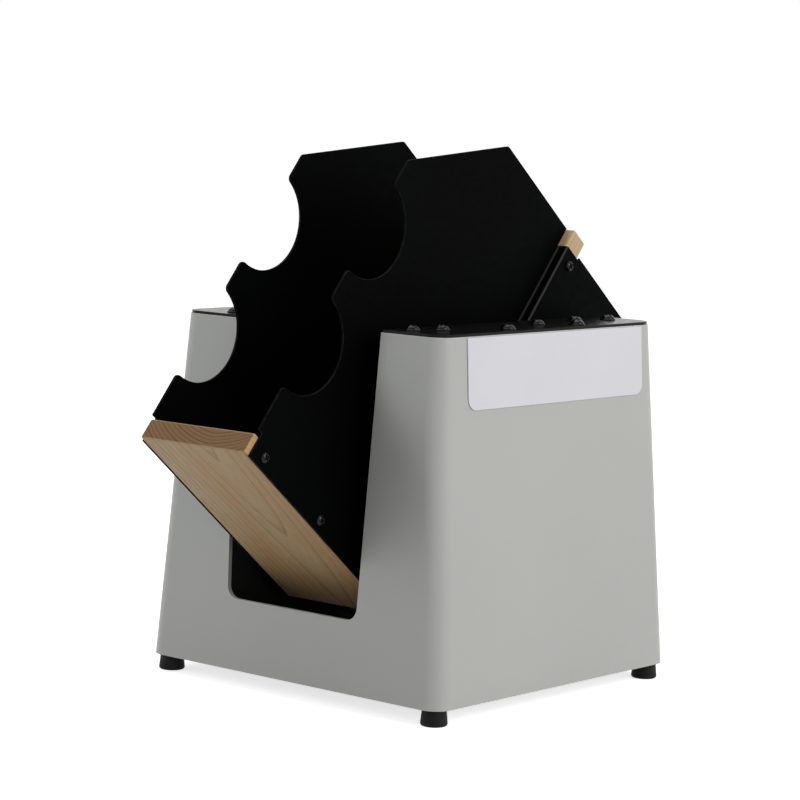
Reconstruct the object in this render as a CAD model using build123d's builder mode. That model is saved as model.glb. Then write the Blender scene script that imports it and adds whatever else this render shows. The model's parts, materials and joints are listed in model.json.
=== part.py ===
"""Paper jogger: a V-shaped bin of two boards and two sheet sides, shaken by an electromagnet.

Frame: X runs along the label face, -Y is the front (label side), +Z is up.  The origin is
the middle of the footprint, on the plane that the feet stand on.  Millimetres throughout.
The bin leans, so its pieces are drawn in a tilted frame: u runs up the floor board,
v runs up the back board, and both start from the bin's datum above the origin.
"""

from build123d import *
import os
from math import atan2, cos, degrees, radians, sin, tan

os.makedirs("parts", exist_ok=True)

# ------------------------------------------------------------------ driving dimensions, mm

# Feet
foot_height = 12.0
foot_diameter = 19.0
foot_tread_bevel = 1.8
foot_inset = 12.8  # from the casing's outside to the foot's middle
foot_recess_diameter = 11.0
foot_recess_depth = 6.0
foot_screw_sink = 2.0  # from the tread to the screw's head

# Casing: a moulded tower, wider at the foot than at the rim
base_length = 270.4
base_width = 277.2
rim_length = 247.0
rim_width = 244.6
casing_height = 252.0
casing_wall = 3.5
casing_corner = 14.5
casing_flange = 24.0  # width of the in-turned foot flange
cutout_sill = 51.3  # height of the side cut-outs' lower edge above the casing's foot
cutout_sill_width = 122.6
cutout_rim_width = 136.4
cutout_corner = 9.5
wall_fit = 0.5  # between the casing and what stands inside it
pick_margin = 0.01  # within which an edge or corner counts as lying on a line

# Base plate and the two inner walls that flank the bin
base_plate_thickness = 8.0
base_plate_bevel = 1.0
inner_wall_thickness = 2.0
channel_width = 138.0  # between the inner walls
wall_foot_width = 30.0
wall_screw_spacing = 95.0

# Deck plates
deck_thickness = 2.0
deck_inset = 0.7
deck_screw_diameter = 5.0
deck_head_diameter = 10.0
deck_head_height = 3.7
deck_head_bevel = 1.6
deck_washer_diameter = 11.5
deck_washer_thickness = 0.9
deck_screw_length = 9.0
deck_screw_places = [(-109, 84), (-88, 93), (-39, 112), (16, 95), (41, 112), (66, 91), (101, 95)]

# Label plate on the front
label_left = -97.0
label_right = 104.5
label_height = 49.5
label_thickness = 1.0
label_corner = 8.0
label_rim_gap = 1.0

# Bin
bin_tilt = 39.67  # degrees that the floor board rises by
bin_datum_x = 0.3
bin_datum_height = 0.4  # above the casing's foot
bin_depth = 171.9  # along the floor, from the back board's face to the floor's end
board_thickness = 15.9
board_edge_radius = 0.8
back_edge_radius = 2.0
floor_width = 98.0
floor_tail = 11.0  # how far the floor board runs on behind the back board
back_width = 117.0
back_height = 312.2
back_face_u = 122.0  # the back board's bearing face, from the datum along u
back_thickness = 17.5
back_screw_setback = 10.95  # from the bearing face

# Side panels
sheet = 1.5
bend_radius = 1.6  # inside of each bend
panel_toe_setback = 4.6
panel_toe_height = 3.0
panel_setback = 0.4  # of the front edge from the floor board's end
panel_rake = 0.8  # degrees that the front edge leans outward by
scallop_radius = 36.4
scallop_pitch = 98.7
scallop_drop = 58.8  # of the upper one's middle below the chamfer
tooth_radius = 4.0
panel_chamfer = 79.5  # leg of the 45 degree top corner
panel_top_radius = 4.0
wing_drop = 13.7  # of the wing's top below the back board's
wing_notch = 2.2  # of the flanges' top below the wing's
lap_width = 5.6  # of the wing's flange over the panel's, half the joggle
wing_rear_u = 5.0
wing_corner = 6.0
wing_lug_x = -56.0
wing_bottom = 98.0
wing_heel_x = 98.0
panel_screw_diameter = 4.2
panel_head_diameter = 8.0
panel_head_height = 2.6
panel_head_bevel = 1.2
panel_screw_length = 20.0
floor_screw_first = 17.3  # from the floor board's outer end
floor_screw_pitch = 74.2
floor_screw_count = 3
back_screw_drop = 26.2  # of the upper one below the back board's top
back_screw_pitch = 123.0
back_screw_count = 3

# Spring drive: four upright slats carry the bin, leaning against the way it moves
slat_lean = 25.0  # degrees
slat_thickness = 3.0
slat_width = 26.0
slat_length = 82.0
slat_gauge = 62.0  # from the middle of the lower clamp to the middle of the upper one
slat_offset = 30.0
slat_fit = 0.3
pivot_rise = 13.0  # lower clamp's middle above the base plate
left_pack_x = -16.0
right_pack_x = 98.0
clamp_length = 18.0
clamp_thickness = 6.0
clamp_width = 92.0
clamp_corner = 2.0
block_depth = 12.0
block_foot = 14.0
block_foot_height = 7.0
clamp_bolt_diameter = 6.0
clamp_bolt_spacing = 14.0
clamp_bolt_grip = 9.0
slat_hole_clearance = 0.7
bolt_head_height = 4.0
bolt_head_width = 10.0  # across flats
small_head_height = 3.5
small_head_width = 8.0
thread_fit = 0.05

# Cradle that joins the two side panels under the bin
cradle_height = 104.0  # underside
cradle_thickness = 4.0
cradle_flange = 26.0
cradle_left = -48.0
cradle_slant = 26.0  # how far the flanges' left ends lean in
cradle_right = 92.0
cradle_bolt_xs = [-12.0, 30.0, 72.0]
cradle_bolt_rise = 14.0
cradle_bolt_end = 2.0  # that stands out inside the flange

# Electromagnet
core_front_x = 17.0
core_depth = 41.0
core_height = 50.0
core_stack = 40.0
core_middle_z = 56.0
core_yoke = 9.0
core_pole = 16.0
core_leg = 8.5
coil_gap = 0.5
coil_length = 29.0
coil_overhang = 8.0
air_gap = 2.0
armature_thickness = 8.0
armature_height = 46.0
hanger_thickness = 4.0
hanger_width = 44.0
hanger_foot = 18.0
hanger_bolt_offset = 14.0
bracket_thickness = 4.0
bracket_width = 44.0
bracket_foot = 30.0
bracket_bolt_inset = 7.0
bracket_bolt_offset = 16.0
bracket_head_height = 3.0
magnet_bolt_diameter = 5.0
armature_screw_rise = 12.0  # above and below the magnet's axis

# Controls on the rear face
controls_height = 150.0
knob_x = -38.0
knob_diameter = 32.0
knob_height = 15.0
knob_skirt = 3.0
knob_flutes = 18
knob_flute_radius = 1.3
knob_gap = 0.4
knob_nut_room = 2.0  # round the nut under the knob
pointer_width = 1.4
pointer_depth = 0.6
shaft_diameter = 6.0
shaft_fit = 0.05
bush_diameter = 9.5
control_body_diameter = 24.0
control_body_depth = 11.0
nut_width = 12.0
nut_height = 2.5
switch_x = 22.0
switch_cut_height = 27.0
switch_cut_width = 12.5
switch_bezel = 2.2
switch_bezel_thickness = 2.0
switch_bezel_corner = 1.5
switch_body_depth = 17.0
rocker_angle = 20.0  # degrees between its two faces, and its travel
rocker_length = 21.2
rocker_width = 9.6
rocker_fit = 0.35
rocker_swing = 1.4  # room at each end for the rocker's corners
rocker_depth = 5.0  # below its pivot
rocker_toe = 4.8  # half the length of its foot
pivot_depth = 2.5  # below the casing's face
pocket_depth = 10.5
gland_x = -90.0
gland_z = 46.0
gland_bore = 8.0
gland_barrel = 15.0
gland_flange = 22.0
gland_flange_thickness = 3.0
gland_nose = 13.0
gland_nose_taper = 12.0  # degrees
gland_shoulder = 2.0
gland_length = 34.0
board_length = 80.0
board_height = 56.0
board_sheet = 1.6
standoff_length = 8.0
standoff_diameter = 7.0
standoff_inset = 5.0  # from the board's edges
board_z = 92.0

# ------------------------------------------------------------------ worked-out geometry

casing_top = foot_height + casing_height
base_bottom = foot_height + casing_wall
base_top = base_bottom + base_plate_thickness
deck_top = casing_top + deck_thickness
length_taper = (base_length - rim_length) / casing_height
width_taper = (base_width - rim_width) / casing_height
face_lean = degrees(atan2(base_width - rim_width, 2 * casing_height))
channel_half = channel_width / 2


def casing_length(z):
    """Outside length of the casing at height z."""
    return base_length - length_taper * (z - foot_height)


def casing_width(z):
    """Outside width of the casing at height z."""
    return base_width - width_taper * (z - foot_height)


def face_plane(side, x, z):
    """Plane on the casing's front (side -1) or rear (side 1) face, normal outward."""
    lean = radians(face_lean)
    return Plane(
        origin=(x, side * casing_width(z) / 2, z),
        x_dir=(-side, 0, 0),
        z_dir=(0, side * cos(lean), sin(lean)),
    )


tilt = radians(bin_tilt)
bin_plane = Plane(
    origin=(bin_datum_x, 0, foot_height + bin_datum_height),
    x_dir=(-cos(tilt), 0, sin(tilt)),
    z_dir=(0, 1, 0),
)


def bin_xz(u, v):
    """World x and z of a point given along the floor (u) and up the back (v)."""
    point = bin_plane.from_local_coords((u, v, 0))
    return (point.X, point.Z)


floor_end_u = back_face_u + bin_depth
back_rear_u = back_face_u - back_thickness
floor_start_u = back_rear_u - floor_tail
back_screw_u = back_face_u - back_screw_setback
# the panel's flange and the wing's, lapped in the back board's rebate
rebate_depth = 2 * sheet
flange_u = back_face_u - rebate_depth
lap_u = flange_u + sheet
wing_inner = back_width / 2
wing_outer = wing_inner + sheet
panel_inner = floor_width / 2
panel_outer = panel_inner + sheet

lean = radians(slat_lean)
pivot_z = base_top + pivot_rise
slat_face = slat_thickness / 2 + slat_fit


def pack_plane(pack_x):
    """Plane of a spring pack: x along Y, y up the slats, z the way the bin moves."""
    return Plane(
        origin=(pack_x, 0, pivot_z),
        x_dir=(0, 1, 0),
        z_dir=(cos(lean), 0, sin(lean)),
    )


def pack_xz(pack_x, along, across):
    """World x and z of a point given up the slats and across them."""
    point = pack_plane(pack_x).from_local_coords((0, along, across))
    return (point.X, point.Z)


foot_places = [
    ("front_left", -1, -1),
    ("front_right", 1, -1),
    ("rear_left", -1, 1),
    ("rear_right", 1, 1),
]
foot_x = base_length / 2 - foot_inset
foot_y = base_width / 2 - foot_inset
foot_points = [(sx * foot_x, sy * foot_y) for label, sx, sy in foot_places]
foot_screw_head_height = foot_recess_depth - foot_screw_sink
wall_foot_middle = channel_half + inner_wall_thickness + wall_foot_width / 2
wall_screw_points = [
    (x, side * wall_foot_middle)
    for side in (-1, 1)
    for x in (-wall_screw_spacing, 0, wall_screw_spacing)
]
slat_bolt_ys = [
    side * slat_offset + shift
    for side in (-1, 1)
    for shift in (-clamp_bolt_spacing / 2, clamp_bolt_spacing / 2)
]
block_bolt_ys = (-slat_offset, slat_offset)

# ------------------------------------------------------------------ casing

with BuildPart() as casing:
    with BuildSketch(Plane.XY.offset(foot_height)):
        RectangleRounded(base_length, base_width, casing_corner)
    with BuildSketch(Plane.XY.offset(casing_top)):
        RectangleRounded(rim_length, rim_width, casing_corner)
    loft()
    hollow_top = casing_top + casing_wall
    for z in (base_bottom, hollow_top):
        with BuildSketch(Plane.XY.offset(z)):
            RectangleRounded(
                casing_length(z) - 2 * casing_wall,
                casing_width(z) - 2 * casing_wall,
                casing_corner - casing_wall,
            )
    loft(mode=Mode.SUBTRACT)
    with BuildSketch(Plane.XY.offset(foot_height)):
        RectangleRounded(
            base_length - 2 * casing_flange,
            base_width - 2 * casing_flange,
            casing_corner - casing_wall,
        )
    extrude(amount=casing_wall, mode=Mode.SUBTRACT)
    with BuildSketch(Plane.XY.offset(foot_height)):
        with Locations(*foot_points):
            Circle(deck_screw_diameter / 2 + thread_fit)
    extrude(amount=casing_wall, mode=Mode.SUBTRACT)
    # side cut-outs, open at the rim
    sill_z = foot_height + cutout_sill
    flare = (cutout_rim_width - cutout_sill_width) / (casing_top - sill_z)
    over_z = casing_top + casing_wall
    over_half = (cutout_sill_width + flare * (over_z - sill_z)) / 2
    with BuildSketch(Plane.YZ):
        with BuildLine():
            Polyline(
                (-cutout_sill_width / 2, sill_z),
                (cutout_sill_width / 2, sill_z),
                (over_half, over_z),
                (-over_half, over_z),
                close=True,
            )
        make_face()
        fillet(vertices().group_by(Axis.Y)[0], cutout_corner)
    extrude(amount=base_length, both=True, mode=Mode.SUBTRACT)
    # rear face: control bush, switch window and cord gland
    with BuildSketch(face_plane(1, knob_x, controls_height)):
        Circle(bush_diameter / 2 + wall_fit)
    extrude(amount=-2 * casing_wall, mode=Mode.SUBTRACT)
    with BuildSketch(face_plane(1, switch_x, controls_height)):
        Rectangle(switch_cut_width, switch_cut_height)
    extrude(amount=-2 * casing_wall, mode=Mode.SUBTRACT)
    with BuildSketch(face_plane(1, gland_x, gland_z)):
        Circle(gland_barrel / 2 + thread_fit)
    extrude(amount=-2 * casing_wall, mode=Mode.SUBTRACT)
casing.part.label = "casing"
export_step(casing.part, "parts/casing.step")

# ------------------------------------------------------------------ base plate, feet, inner walls

plate_length = casing_length(base_top) - 2 * casing_wall - 2 * wall_fit
plate_width = casing_width(base_top) - 2 * casing_wall - 2 * wall_fit


def block_flange_x(pack_x):
    """Middle of a lower block's foot flange."""
    return pack_xz(pack_x, clamp_length / 2, -slat_face)[0] - block_depth - block_foot / 2


block_bolt_points = [
    (block_flange_x(pack_x), y) for pack_x in (left_pack_x, right_pack_x) for y in block_bolt_ys
]
bracket_back_x = core_front_x + core_depth + bracket_thickness
bracket_bolt_x = bracket_back_x - bracket_foot + bracket_bolt_inset
bracket_bolt_points = [(bracket_bolt_x, y) for y in (-bracket_bolt_offset, bracket_bolt_offset)]

with BuildPart() as base_plate:
    with BuildSketch(Plane.XY.offset(base_bottom)):
        RectangleRounded(plate_length, plate_width, casing_corner - casing_wall)
        with Locations(*foot_points):
            Circle(deck_screw_diameter / 2 + thread_fit, mode=Mode.SUBTRACT)
        with Locations(*wall_screw_points):
            Circle(deck_screw_diameter / 2 + thread_fit, mode=Mode.SUBTRACT)
        with Locations(*block_bolt_points, *bracket_bolt_points):
            Circle(clamp_bolt_diameter / 2 + thread_fit, mode=Mode.SUBTRACT)
    extrude(amount=base_plate_thickness)
    chamfer(faces().sort_by(Axis.Z)[-1].outer_wire().edges(), base_plate_bevel)
base_plate.part.label = "base_plate"
export_step(base_plate.part, "parts/base_plate.step")

for foot_name, sx, sy in foot_places:
    with BuildPart() as foot:
        with BuildSketch(Plane.XY.offset(foot_height)):
            with Locations((sx * foot_x, sy * foot_y)):
                Circle(foot_diameter / 2)
        extrude(amount=-foot_height)
        chamfer(foot.edges().filter_by(GeomType.CIRCLE).group_by(Axis.Z)[0], foot_tread_bevel)
        with BuildSketch(Plane.XY):
            with Locations((sx * foot_x, sy * foot_y)):
                Circle(foot_recess_diameter / 2)
        extrude(amount=foot_recess_depth, mode=Mode.SUBTRACT)
        with BuildSketch(Plane.XY.offset(foot_recess_depth)):
            with Locations((sx * foot_x, sy * foot_y)):
                Circle(deck_screw_diameter / 2 + thread_fit)
        extrude(amount=foot_height - foot_recess_depth, mode=Mode.SUBTRACT)
    foot.part.label = "foot_" + foot_name
    export_step(foot.part, "parts/foot_" + foot_name + ".step")

with BuildPart() as foot_screws:
    with BuildSketch(Plane.XY.offset(foot_recess_depth)):
        with Locations(*foot_points):
            Circle(deck_head_diameter / 2)
    extrude(amount=-foot_screw_head_height)
    with BuildSketch(Plane.XY.offset(foot_recess_depth)):
        with Locations(*foot_points):
            Circle(deck_screw_diameter / 2)
    extrude(amount=base_top - foot_recess_depth)
foot_screws.part.label = "foot_screws"
export_step(foot_screws.part, "parts/foot_screws.step")


def half_plan(length, width, corner, side):
    """Sketch, in a BuildSketch: a rounded rectangle's front or rear part outside the channel."""
    RectangleRounded(length, width, corner)
    with Locations((0, side * (channel_half + width / 2))):
        Rectangle(length, width, mode=Mode.INTERSECT)


shelf_z = casing_top - inner_wall_thickness
shelf_length = casing_length(casing_top) - 2 * casing_wall - 2 * wall_fit
shelf_width = casing_width(casing_top) - 2 * casing_wall - 2 * wall_fit
for wall_name, side in (("front_inner_wall", -1), ("rear_inner_wall", 1)):
    screw_points = [(x, side * y) for x, y in deck_screw_places]
    with BuildPart() as inner_wall:
        with BuildSketch(Plane.XZ.offset(-side * channel_half)):
            with BuildLine():
                Polyline(
                    (-plate_length / 2, base_top),
                    (plate_length / 2, base_top),
                    (shelf_length / 2, casing_top),
                    (-shelf_length / 2, casing_top),
                    close=True,
                )
            make_face()
        extrude(amount=-side * inner_wall_thickness)
        with BuildSketch(Plane.XY.offset(base_top)):
            with Locations((0, side * (wall_foot_middle - inner_wall_thickness / 2))):
                Rectangle(plate_length, wall_foot_width + inner_wall_thickness)
        extrude(amount=inner_wall_thickness)
        with BuildSketch(Plane.XY.offset(shelf_z)):
            half_plan(shelf_length, shelf_width, casing_corner - casing_wall, side)
        extrude(amount=inner_wall_thickness)
        with BuildSketch(Plane.XY.offset(shelf_z)):
            with Locations(*screw_points):
                Circle(deck_screw_diameter / 2 + thread_fit)
        extrude(amount=inner_wall_thickness, mode=Mode.SUBTRACT)
        with BuildSketch(Plane.XY.offset(base_top)):
            with Locations(*wall_screw_points):
                Circle(deck_screw_diameter / 2 + thread_fit)
        extrude(amount=inner_wall_thickness, mode=Mode.SUBTRACT)
    inner_wall.part.label = wall_name
    export_step(inner_wall.part, "parts/" + wall_name + ".step")

with BuildPart() as wall_screws:
    with BuildSketch(Plane.XY.offset(base_top + inner_wall_thickness)):
        with Locations(*wall_screw_points):
            Circle(deck_head_diameter / 2)
    extrude(amount=deck_head_height)
    with BuildSketch(Plane.XY.offset(base_bottom)):
        with Locations(*wall_screw_points):
            Circle(deck_screw_diameter / 2)
    extrude(amount=base_plate_thickness + inner_wall_thickness)
wall_screws.part.label = "wall_screws"
export_step(wall_screws.part, "parts/wall_screws.step")

# ------------------------------------------------------------------ decks and label

for deck_name, side in (("front_deck", -1), ("rear_deck", 1)):
    screw_points = [(x, side * y) for x, y in deck_screw_places]
    with BuildPart() as deck:
        with BuildSketch(Plane.XY.offset(casing_top)):
            half_plan(
                rim_length - 2 * deck_inset,
                rim_width - 2 * deck_inset,
                casing_corner - deck_inset,
                side,
            )
            with Locations(*screw_points):
                Circle(deck_screw_diameter / 2 + thread_fit, mode=Mode.SUBTRACT)
        extrude(amount=deck_thickness)
    deck.part.label = deck_name
    export_step(deck.part, "parts/" + deck_name + ".step")

    with BuildPart() as deck_screws:
        with BuildSketch(Plane.XY.offset(deck_top)):
            with Locations(*screw_points):
                Circle(deck_washer_diameter / 2)
        extrude(amount=deck_washer_thickness)
        with BuildSketch(Plane.XY.offset(deck_top + deck_washer_thickness)):
            with Locations(*screw_points):
                Circle(deck_head_diameter / 2)
        extrude(amount=deck_head_height)
        chamfer(
            deck_screws.edges().filter_by(GeomType.CIRCLE).group_by(Axis.Z)[-1],
            deck_head_bevel,
        )
        with BuildSketch(Plane.XY.offset(deck_top)):
            with Locations(*screw_points):
                Circle(deck_screw_diameter / 2)
        extrude(amount=-deck_screw_length)
    deck_screws.part.label = deck_name + "_screws"
    export_step(deck_screws.part, "parts/" + deck_name + "_screws.step")

label_z = casing_top - label_rim_gap
with BuildPart() as label_plate:
    label_middle = (label_left + label_right) / 2
    with BuildSketch(face_plane(-1, label_middle, label_z)):
        with Locations((0, -label_height / 2)):
            Rectangle(label_right - label_left, label_height)
        fillet(vertices().group_by(Axis.Y)[0], label_corner)
    extrude(amount=label_thickness)
label_plate.part.label = "label_plate"
export_step(label_plate.part, "parts/label_plate.step")

# ------------------------------------------------------------------ bin boards and side panels

floor_screw_us = [
    floor_end_u - floor_screw_first - i * floor_screw_pitch for i in range(floor_screw_count)
]
panel_screw_hole = panel_screw_diameter / 2 + thread_fit
screw_reach = panel_screw_length - sheet
wing_top = back_height - wing_drop
flange_top = wing_top - wing_notch
back_screw_heights = [
    back_height - back_screw_drop - back_screw_pitch * i for i in range(back_screw_count)
]

with BuildPart() as floor_board:
    with BuildSketch(bin_plane):
        with Locations(((floor_start_u + floor_end_u) / 2, -board_thickness / 2)):
            Rectangle(floor_end_u - floor_start_u, board_thickness)
    extrude(amount=floor_width / 2, both=True)
    fillet(floor_board.edges(), board_edge_radius)
    for side in (-1, 1):
        with BuildSketch(bin_plane.offset(side * panel_inner)):
            with Locations(*[(u, -board_thickness / 2) for u in floor_screw_us]):
                Circle(panel_screw_hole)
        extrude(amount=-side * screw_reach, mode=Mode.SUBTRACT)
floor_board.part.label = "floor_board"
export_step(floor_board.part, "parts/floor_board.step")

with BuildPart() as back_board:
    with BuildSketch(bin_plane):
        with Locations(((back_rear_u + back_face_u) / 2, back_height / 2)):
            Rectangle(back_thickness, back_height)
    extrude(amount=back_width / 2, both=True)
    fillet(back_board.edges(), back_edge_radius)
    # rebates that the side panels' flanges lie in
    for side in (-1, 1):
        with BuildSketch(bin_plane.offset(side * panel_inner)):
            with Locations((back_face_u, flange_top / 2)):
                Rectangle(2 * rebate_depth, flange_top)
        extrude(amount=side * (back_width - floor_width), mode=Mode.SUBTRACT)
    for side in (-1, 1):
        with BuildSketch(bin_plane.offset(side * wing_inner)):
            with Locations(*[(back_screw_u, v) for v in back_screw_heights]):
                Circle(panel_screw_hole)
        extrude(amount=-side * screw_reach, mode=Mode.SUBTRACT)
back_board.part.label = "back_board"
export_step(back_board.part, "parts/back_board.step")

rake = tan(radians(panel_rake))


def front_edge_u(v):
    """The panel's raked front edge at height v."""
    return floor_end_u - panel_setback + rake * v


chamfer_start = back_height - panel_chamfer
scallop_high = chamfer_start - scallop_drop
# where the wing's rear edge comes down to the heel
heel_v = (wing_heel_x - bin_datum_x + wing_rear_u * cos(tilt)) / sin(tilt)
cradle_bolt_z = cradle_height + cradle_bolt_rise

for panel_name, side in (("front_panel", -1), ("rear_panel", 1)):
    with BuildPart() as side_panel:
        # front field, outside the floor board
        with BuildSketch(bin_plane.offset(side * panel_inner)):
            with BuildLine():
                Polyline(
                    (flange_u, -board_thickness),
                    (floor_end_u - panel_toe_setback, -board_thickness),
                    (floor_end_u - panel_toe_setback, panel_toe_height),
                    (front_edge_u(panel_toe_height), panel_toe_height),
                    (front_edge_u(chamfer_start), chamfer_start),
                    (front_edge_u(chamfer_start) - panel_chamfer, back_height),
                    (back_face_u, back_height),
                    (back_face_u, flange_top),
                    (flange_u, flange_top),
                    close=True,
                )
            make_face()
            for v in (scallop_high - scallop_pitch, scallop_high):
                with Locations((front_edge_u(v), v)):
                    Circle(scallop_radius, mode=Mode.SUBTRACT)
            top_corners = vertices().group_by(Axis.Y)[-1]
            fillet(top_corners.sort_by(Axis.X)[-1], panel_top_radius)
            teeth = [
                v
                for v in vertices()
                if v.X > floor_end_u - panel_toe_setback and v.Y > panel_toe_height + tooth_radius
            ]
            fillet(teeth, tooth_radius)
        extrude(amount=side * sheet)
        # joggle out to the wider back board: the panel's flange with the wing's lapped over it
        for sheet_u, width in ((flange_u, wing_outer - panel_inner), (lap_u, lap_width)):
            with BuildSketch(bin_plane.offset(side * wing_outer)):
                with Locations((sheet_u + sheet / 2, (flange_top - board_thickness) / 2)):
                    Rectangle(sheet, flange_top + board_thickness)
            extrude(amount=-side * width)
        # wing behind the back board, down to the cradle
        with BuildSketch(Plane.XZ.offset(-side * wing_inner)):
            with BuildLine():
                Polyline(
                    bin_xz(back_face_u, -board_thickness),
                    bin_xz(back_face_u, flange_top),
                    bin_xz(back_rear_u, flange_top),
                    bin_xz(back_rear_u, wing_top),
                    bin_xz(wing_rear_u, wing_top),
                    bin_xz(wing_rear_u, heel_v),
                    (wing_heel_x, wing_bottom),
                    (wing_lug_x, wing_bottom),
                    bin_xz(floor_start_u, -board_thickness),
                    close=True,
                )
            make_face()
            rear_corner = vertices().sort_by(Axis.X)[-1]
            heel_corners = vertices().filter_by(lambda v: abs(v.X - wing_heel_x) < pick_margin)
            fillet([rear_corner, *heel_corners], wing_corner)
        extrude(amount=-side * sheet)
        # sheet bends, rounded on the sides that show
        for bend_y, bend_u in ((wing_outer, back_face_u), (panel_outer, lap_u)):
            bends = side_panel.edges().filter_by(
                lambda e: e.length > back_height / 2
                and abs(e.center().Y - side * bend_y) < pick_margin
                and abs(bin_plane.to_local_coords(e.center()).X - bend_u) < pick_margin
            )
            fillet(bends, bend_radius)
        with BuildSketch(bin_plane.offset(side * panel_inner)):
            with Locations(*[(u, -board_thickness / 2) for u in floor_screw_us]):
                Circle(panel_screw_hole)
        extrude(amount=side * sheet, mode=Mode.SUBTRACT)
        with BuildSketch(bin_plane.offset(side * wing_inner)):
            with Locations(*[(back_screw_u, v) for v in back_screw_heights]):
                Circle(panel_screw_hole)
        extrude(amount=side * sheet, mode=Mode.SUBTRACT)
        with BuildSketch(Plane.XZ.offset(-side * wing_inner)):
            with Locations(*[(x, cradle_bolt_z) for x in cradle_bolt_xs]):
                Circle(clamp_bolt_diameter / 2 + thread_fit)
        extrude(amount=-side * sheet, mode=Mode.SUBTRACT)
    side_panel.part.label = panel_name
    export_step(side_panel.part, "parts/" + panel_name + ".step")

for screws_name, points, face_y in (
    ("floor_board_screws", [(u, -board_thickness / 2) for u in floor_screw_us], panel_outer),
    ("back_board_screws", [(back_screw_u, v) for v in back_screw_heights], wing_outer),
):
    with BuildPart() as board_screws:
        for side in (-1, 1):
            with BuildSketch(bin_plane.offset(side * face_y)):
                with Locations(*points):
                    Circle(panel_head_diameter / 2)
            extrude(amount=side * panel_head_height)
        for side, pick in ((-1, 0), (1, -1)):
            rims = board_screws.edges().filter_by(GeomType.CIRCLE).group_by(Axis.Y)[pick]
            chamfer(rims, panel_head_bevel)
        for side in (-1, 1):
            with BuildSketch(bin_plane.offset(side * face_y)):
                with Locations(*points):
                    Circle(panel_screw_diameter / 2)
            extrude(amount=-side * panel_screw_length)
    board_screws.part.label = screws_name
    export_step(board_screws.part, "parts/" + screws_name + ".step")

# ------------------------------------------------------------------ slat springs and their clamps

packs = (("left", left_pack_x), ("right", right_pack_x))
clamp_half = clamp_length / 2
slat_middle = slat_gauge / 2
bolt_hole = clamp_bolt_diameter / 2 + thread_fit
slat_bolt_points = [(y, along) for y in slat_bolt_ys for along in (0, slat_gauge)]

for pack_name, pack_x in packs:
    plane = pack_plane(pack_x)
    for place, side in (("front", -1), ("rear", 1)):
        with BuildPart() as slat:
            with BuildSketch(plane.offset(-slat_thickness / 2)):
                with Locations((side * slat_offset, slat_middle)):
                    RectangleRounded(slat_width, slat_length, clamp_corner)
                with Locations(*[(y, a) for y, a in slat_bolt_points if y * side > 0]):
                    Circle(clamp_bolt_diameter / 2 + slat_hole_clearance, mode=Mode.SUBTRACT)
            extrude(amount=slat_thickness)
        slat_name = pack_name + "_" + place + "_slat"
        slat.part.label = slat_name
        export_step(slat.part, "parts/" + slat_name + ".step")

    # lower block: a bracket under the leaning slats, bolted to the base plate
    face_top = pack_xz(pack_x, clamp_half, -slat_face)
    face_foot_along = (base_top - pivot_z - slat_face * sin(lean)) / cos(lean)
    face_foot = pack_xz(pack_x, face_foot_along + 2 * slat_face * tan(lean), -slat_face)
    back_x = face_top[0] - block_depth
    with BuildPart() as lower_block:
        with BuildSketch(Plane.XZ):
            with BuildLine():
                Polyline(
                    (face_foot[0], base_top),
                    face_top,
                    (back_x, face_top[1]),
                    (back_x, base_top + block_foot_height),
                    (back_x - block_foot, base_top + block_foot_height),
                    (back_x - block_foot, base_top),
                    close=True,
                )
            make_face()
        extrude(amount=clamp_width / 2, both=True)
        with BuildSketch(plane.offset(-slat_face)):
            with Locations(*[(y, 0) for y in slat_bolt_ys]):
                Circle(bolt_hole)
        extrude(amount=-clamp_bolt_grip, mode=Mode.SUBTRACT)
        with BuildSketch(Plane.XY.offset(base_top)):
            with Locations(*[(back_x - block_foot / 2, y) for y in block_bolt_ys]):
                Circle(bolt_hole)
        extrude(amount=block_foot_height, mode=Mode.SUBTRACT)
    lower_block.part.label = pack_name + "_lower_block"
    export_step(lower_block.part, "parts/" + pack_name + "_lower_block.step")

    # upper block: hangs from the cradle over the slats
    face_low = pack_xz(pack_x, slat_gauge - clamp_half, slat_face)
    hang_along = (cradle_height - face_low[1]) / cos(lean)
    face_high = pack_xz(pack_x, slat_gauge - clamp_half + hang_along, slat_face)
    front_x = face_low[0] + block_depth
    with BuildPart() as upper_block:
        with BuildSketch(Plane.XZ):
            with BuildLine():
                Polyline(
                    face_low,
                    (face_high[0], cradle_height),
                    (front_x, cradle_height),
                    (front_x, face_low[1]),
                    close=True,
                )
            make_face()
        extrude(amount=clamp_width / 2, both=True)
        with BuildSketch(plane.offset(slat_face)):
            with Locations(*[(y, slat_gauge) for y in slat_bolt_ys]):
                Circle(bolt_hole)
        extrude(amount=clamp_bolt_grip, mode=Mode.SUBTRACT)
        with BuildSketch(Plane.XY.offset(cradle_height)):
            with Locations(*[(front_x - block_depth / 2, y) for y in block_bolt_ys]):
                Circle(bolt_hole)
        extrude(amount=-clamp_bolt_grip, mode=Mode.SUBTRACT)
    upper_block.part.label = pack_name + "_upper_block"
    export_step(upper_block.part, "parts/" + pack_name + "_upper_block.step")

    for level, along, facing in (("lower", 0, 1), ("upper", slat_gauge, -1)):
        with BuildPart() as clamp_bar:
            with BuildSketch(plane.offset(facing * slat_face)):
                with Locations((0, along)):
                    RectangleRounded(clamp_width, clamp_length, clamp_corner)
                with Locations(*[(y, along) for y in slat_bolt_ys]):
                    Circle(bolt_hole, mode=Mode.SUBTRACT)
            extrude(amount=facing * clamp_thickness)
        bar_name = pack_name + "_" + level + "_clamp"
        clamp_bar.part.label = bar_name
        export_step(clamp_bar.part, "parts/" + bar_name + ".step")

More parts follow.
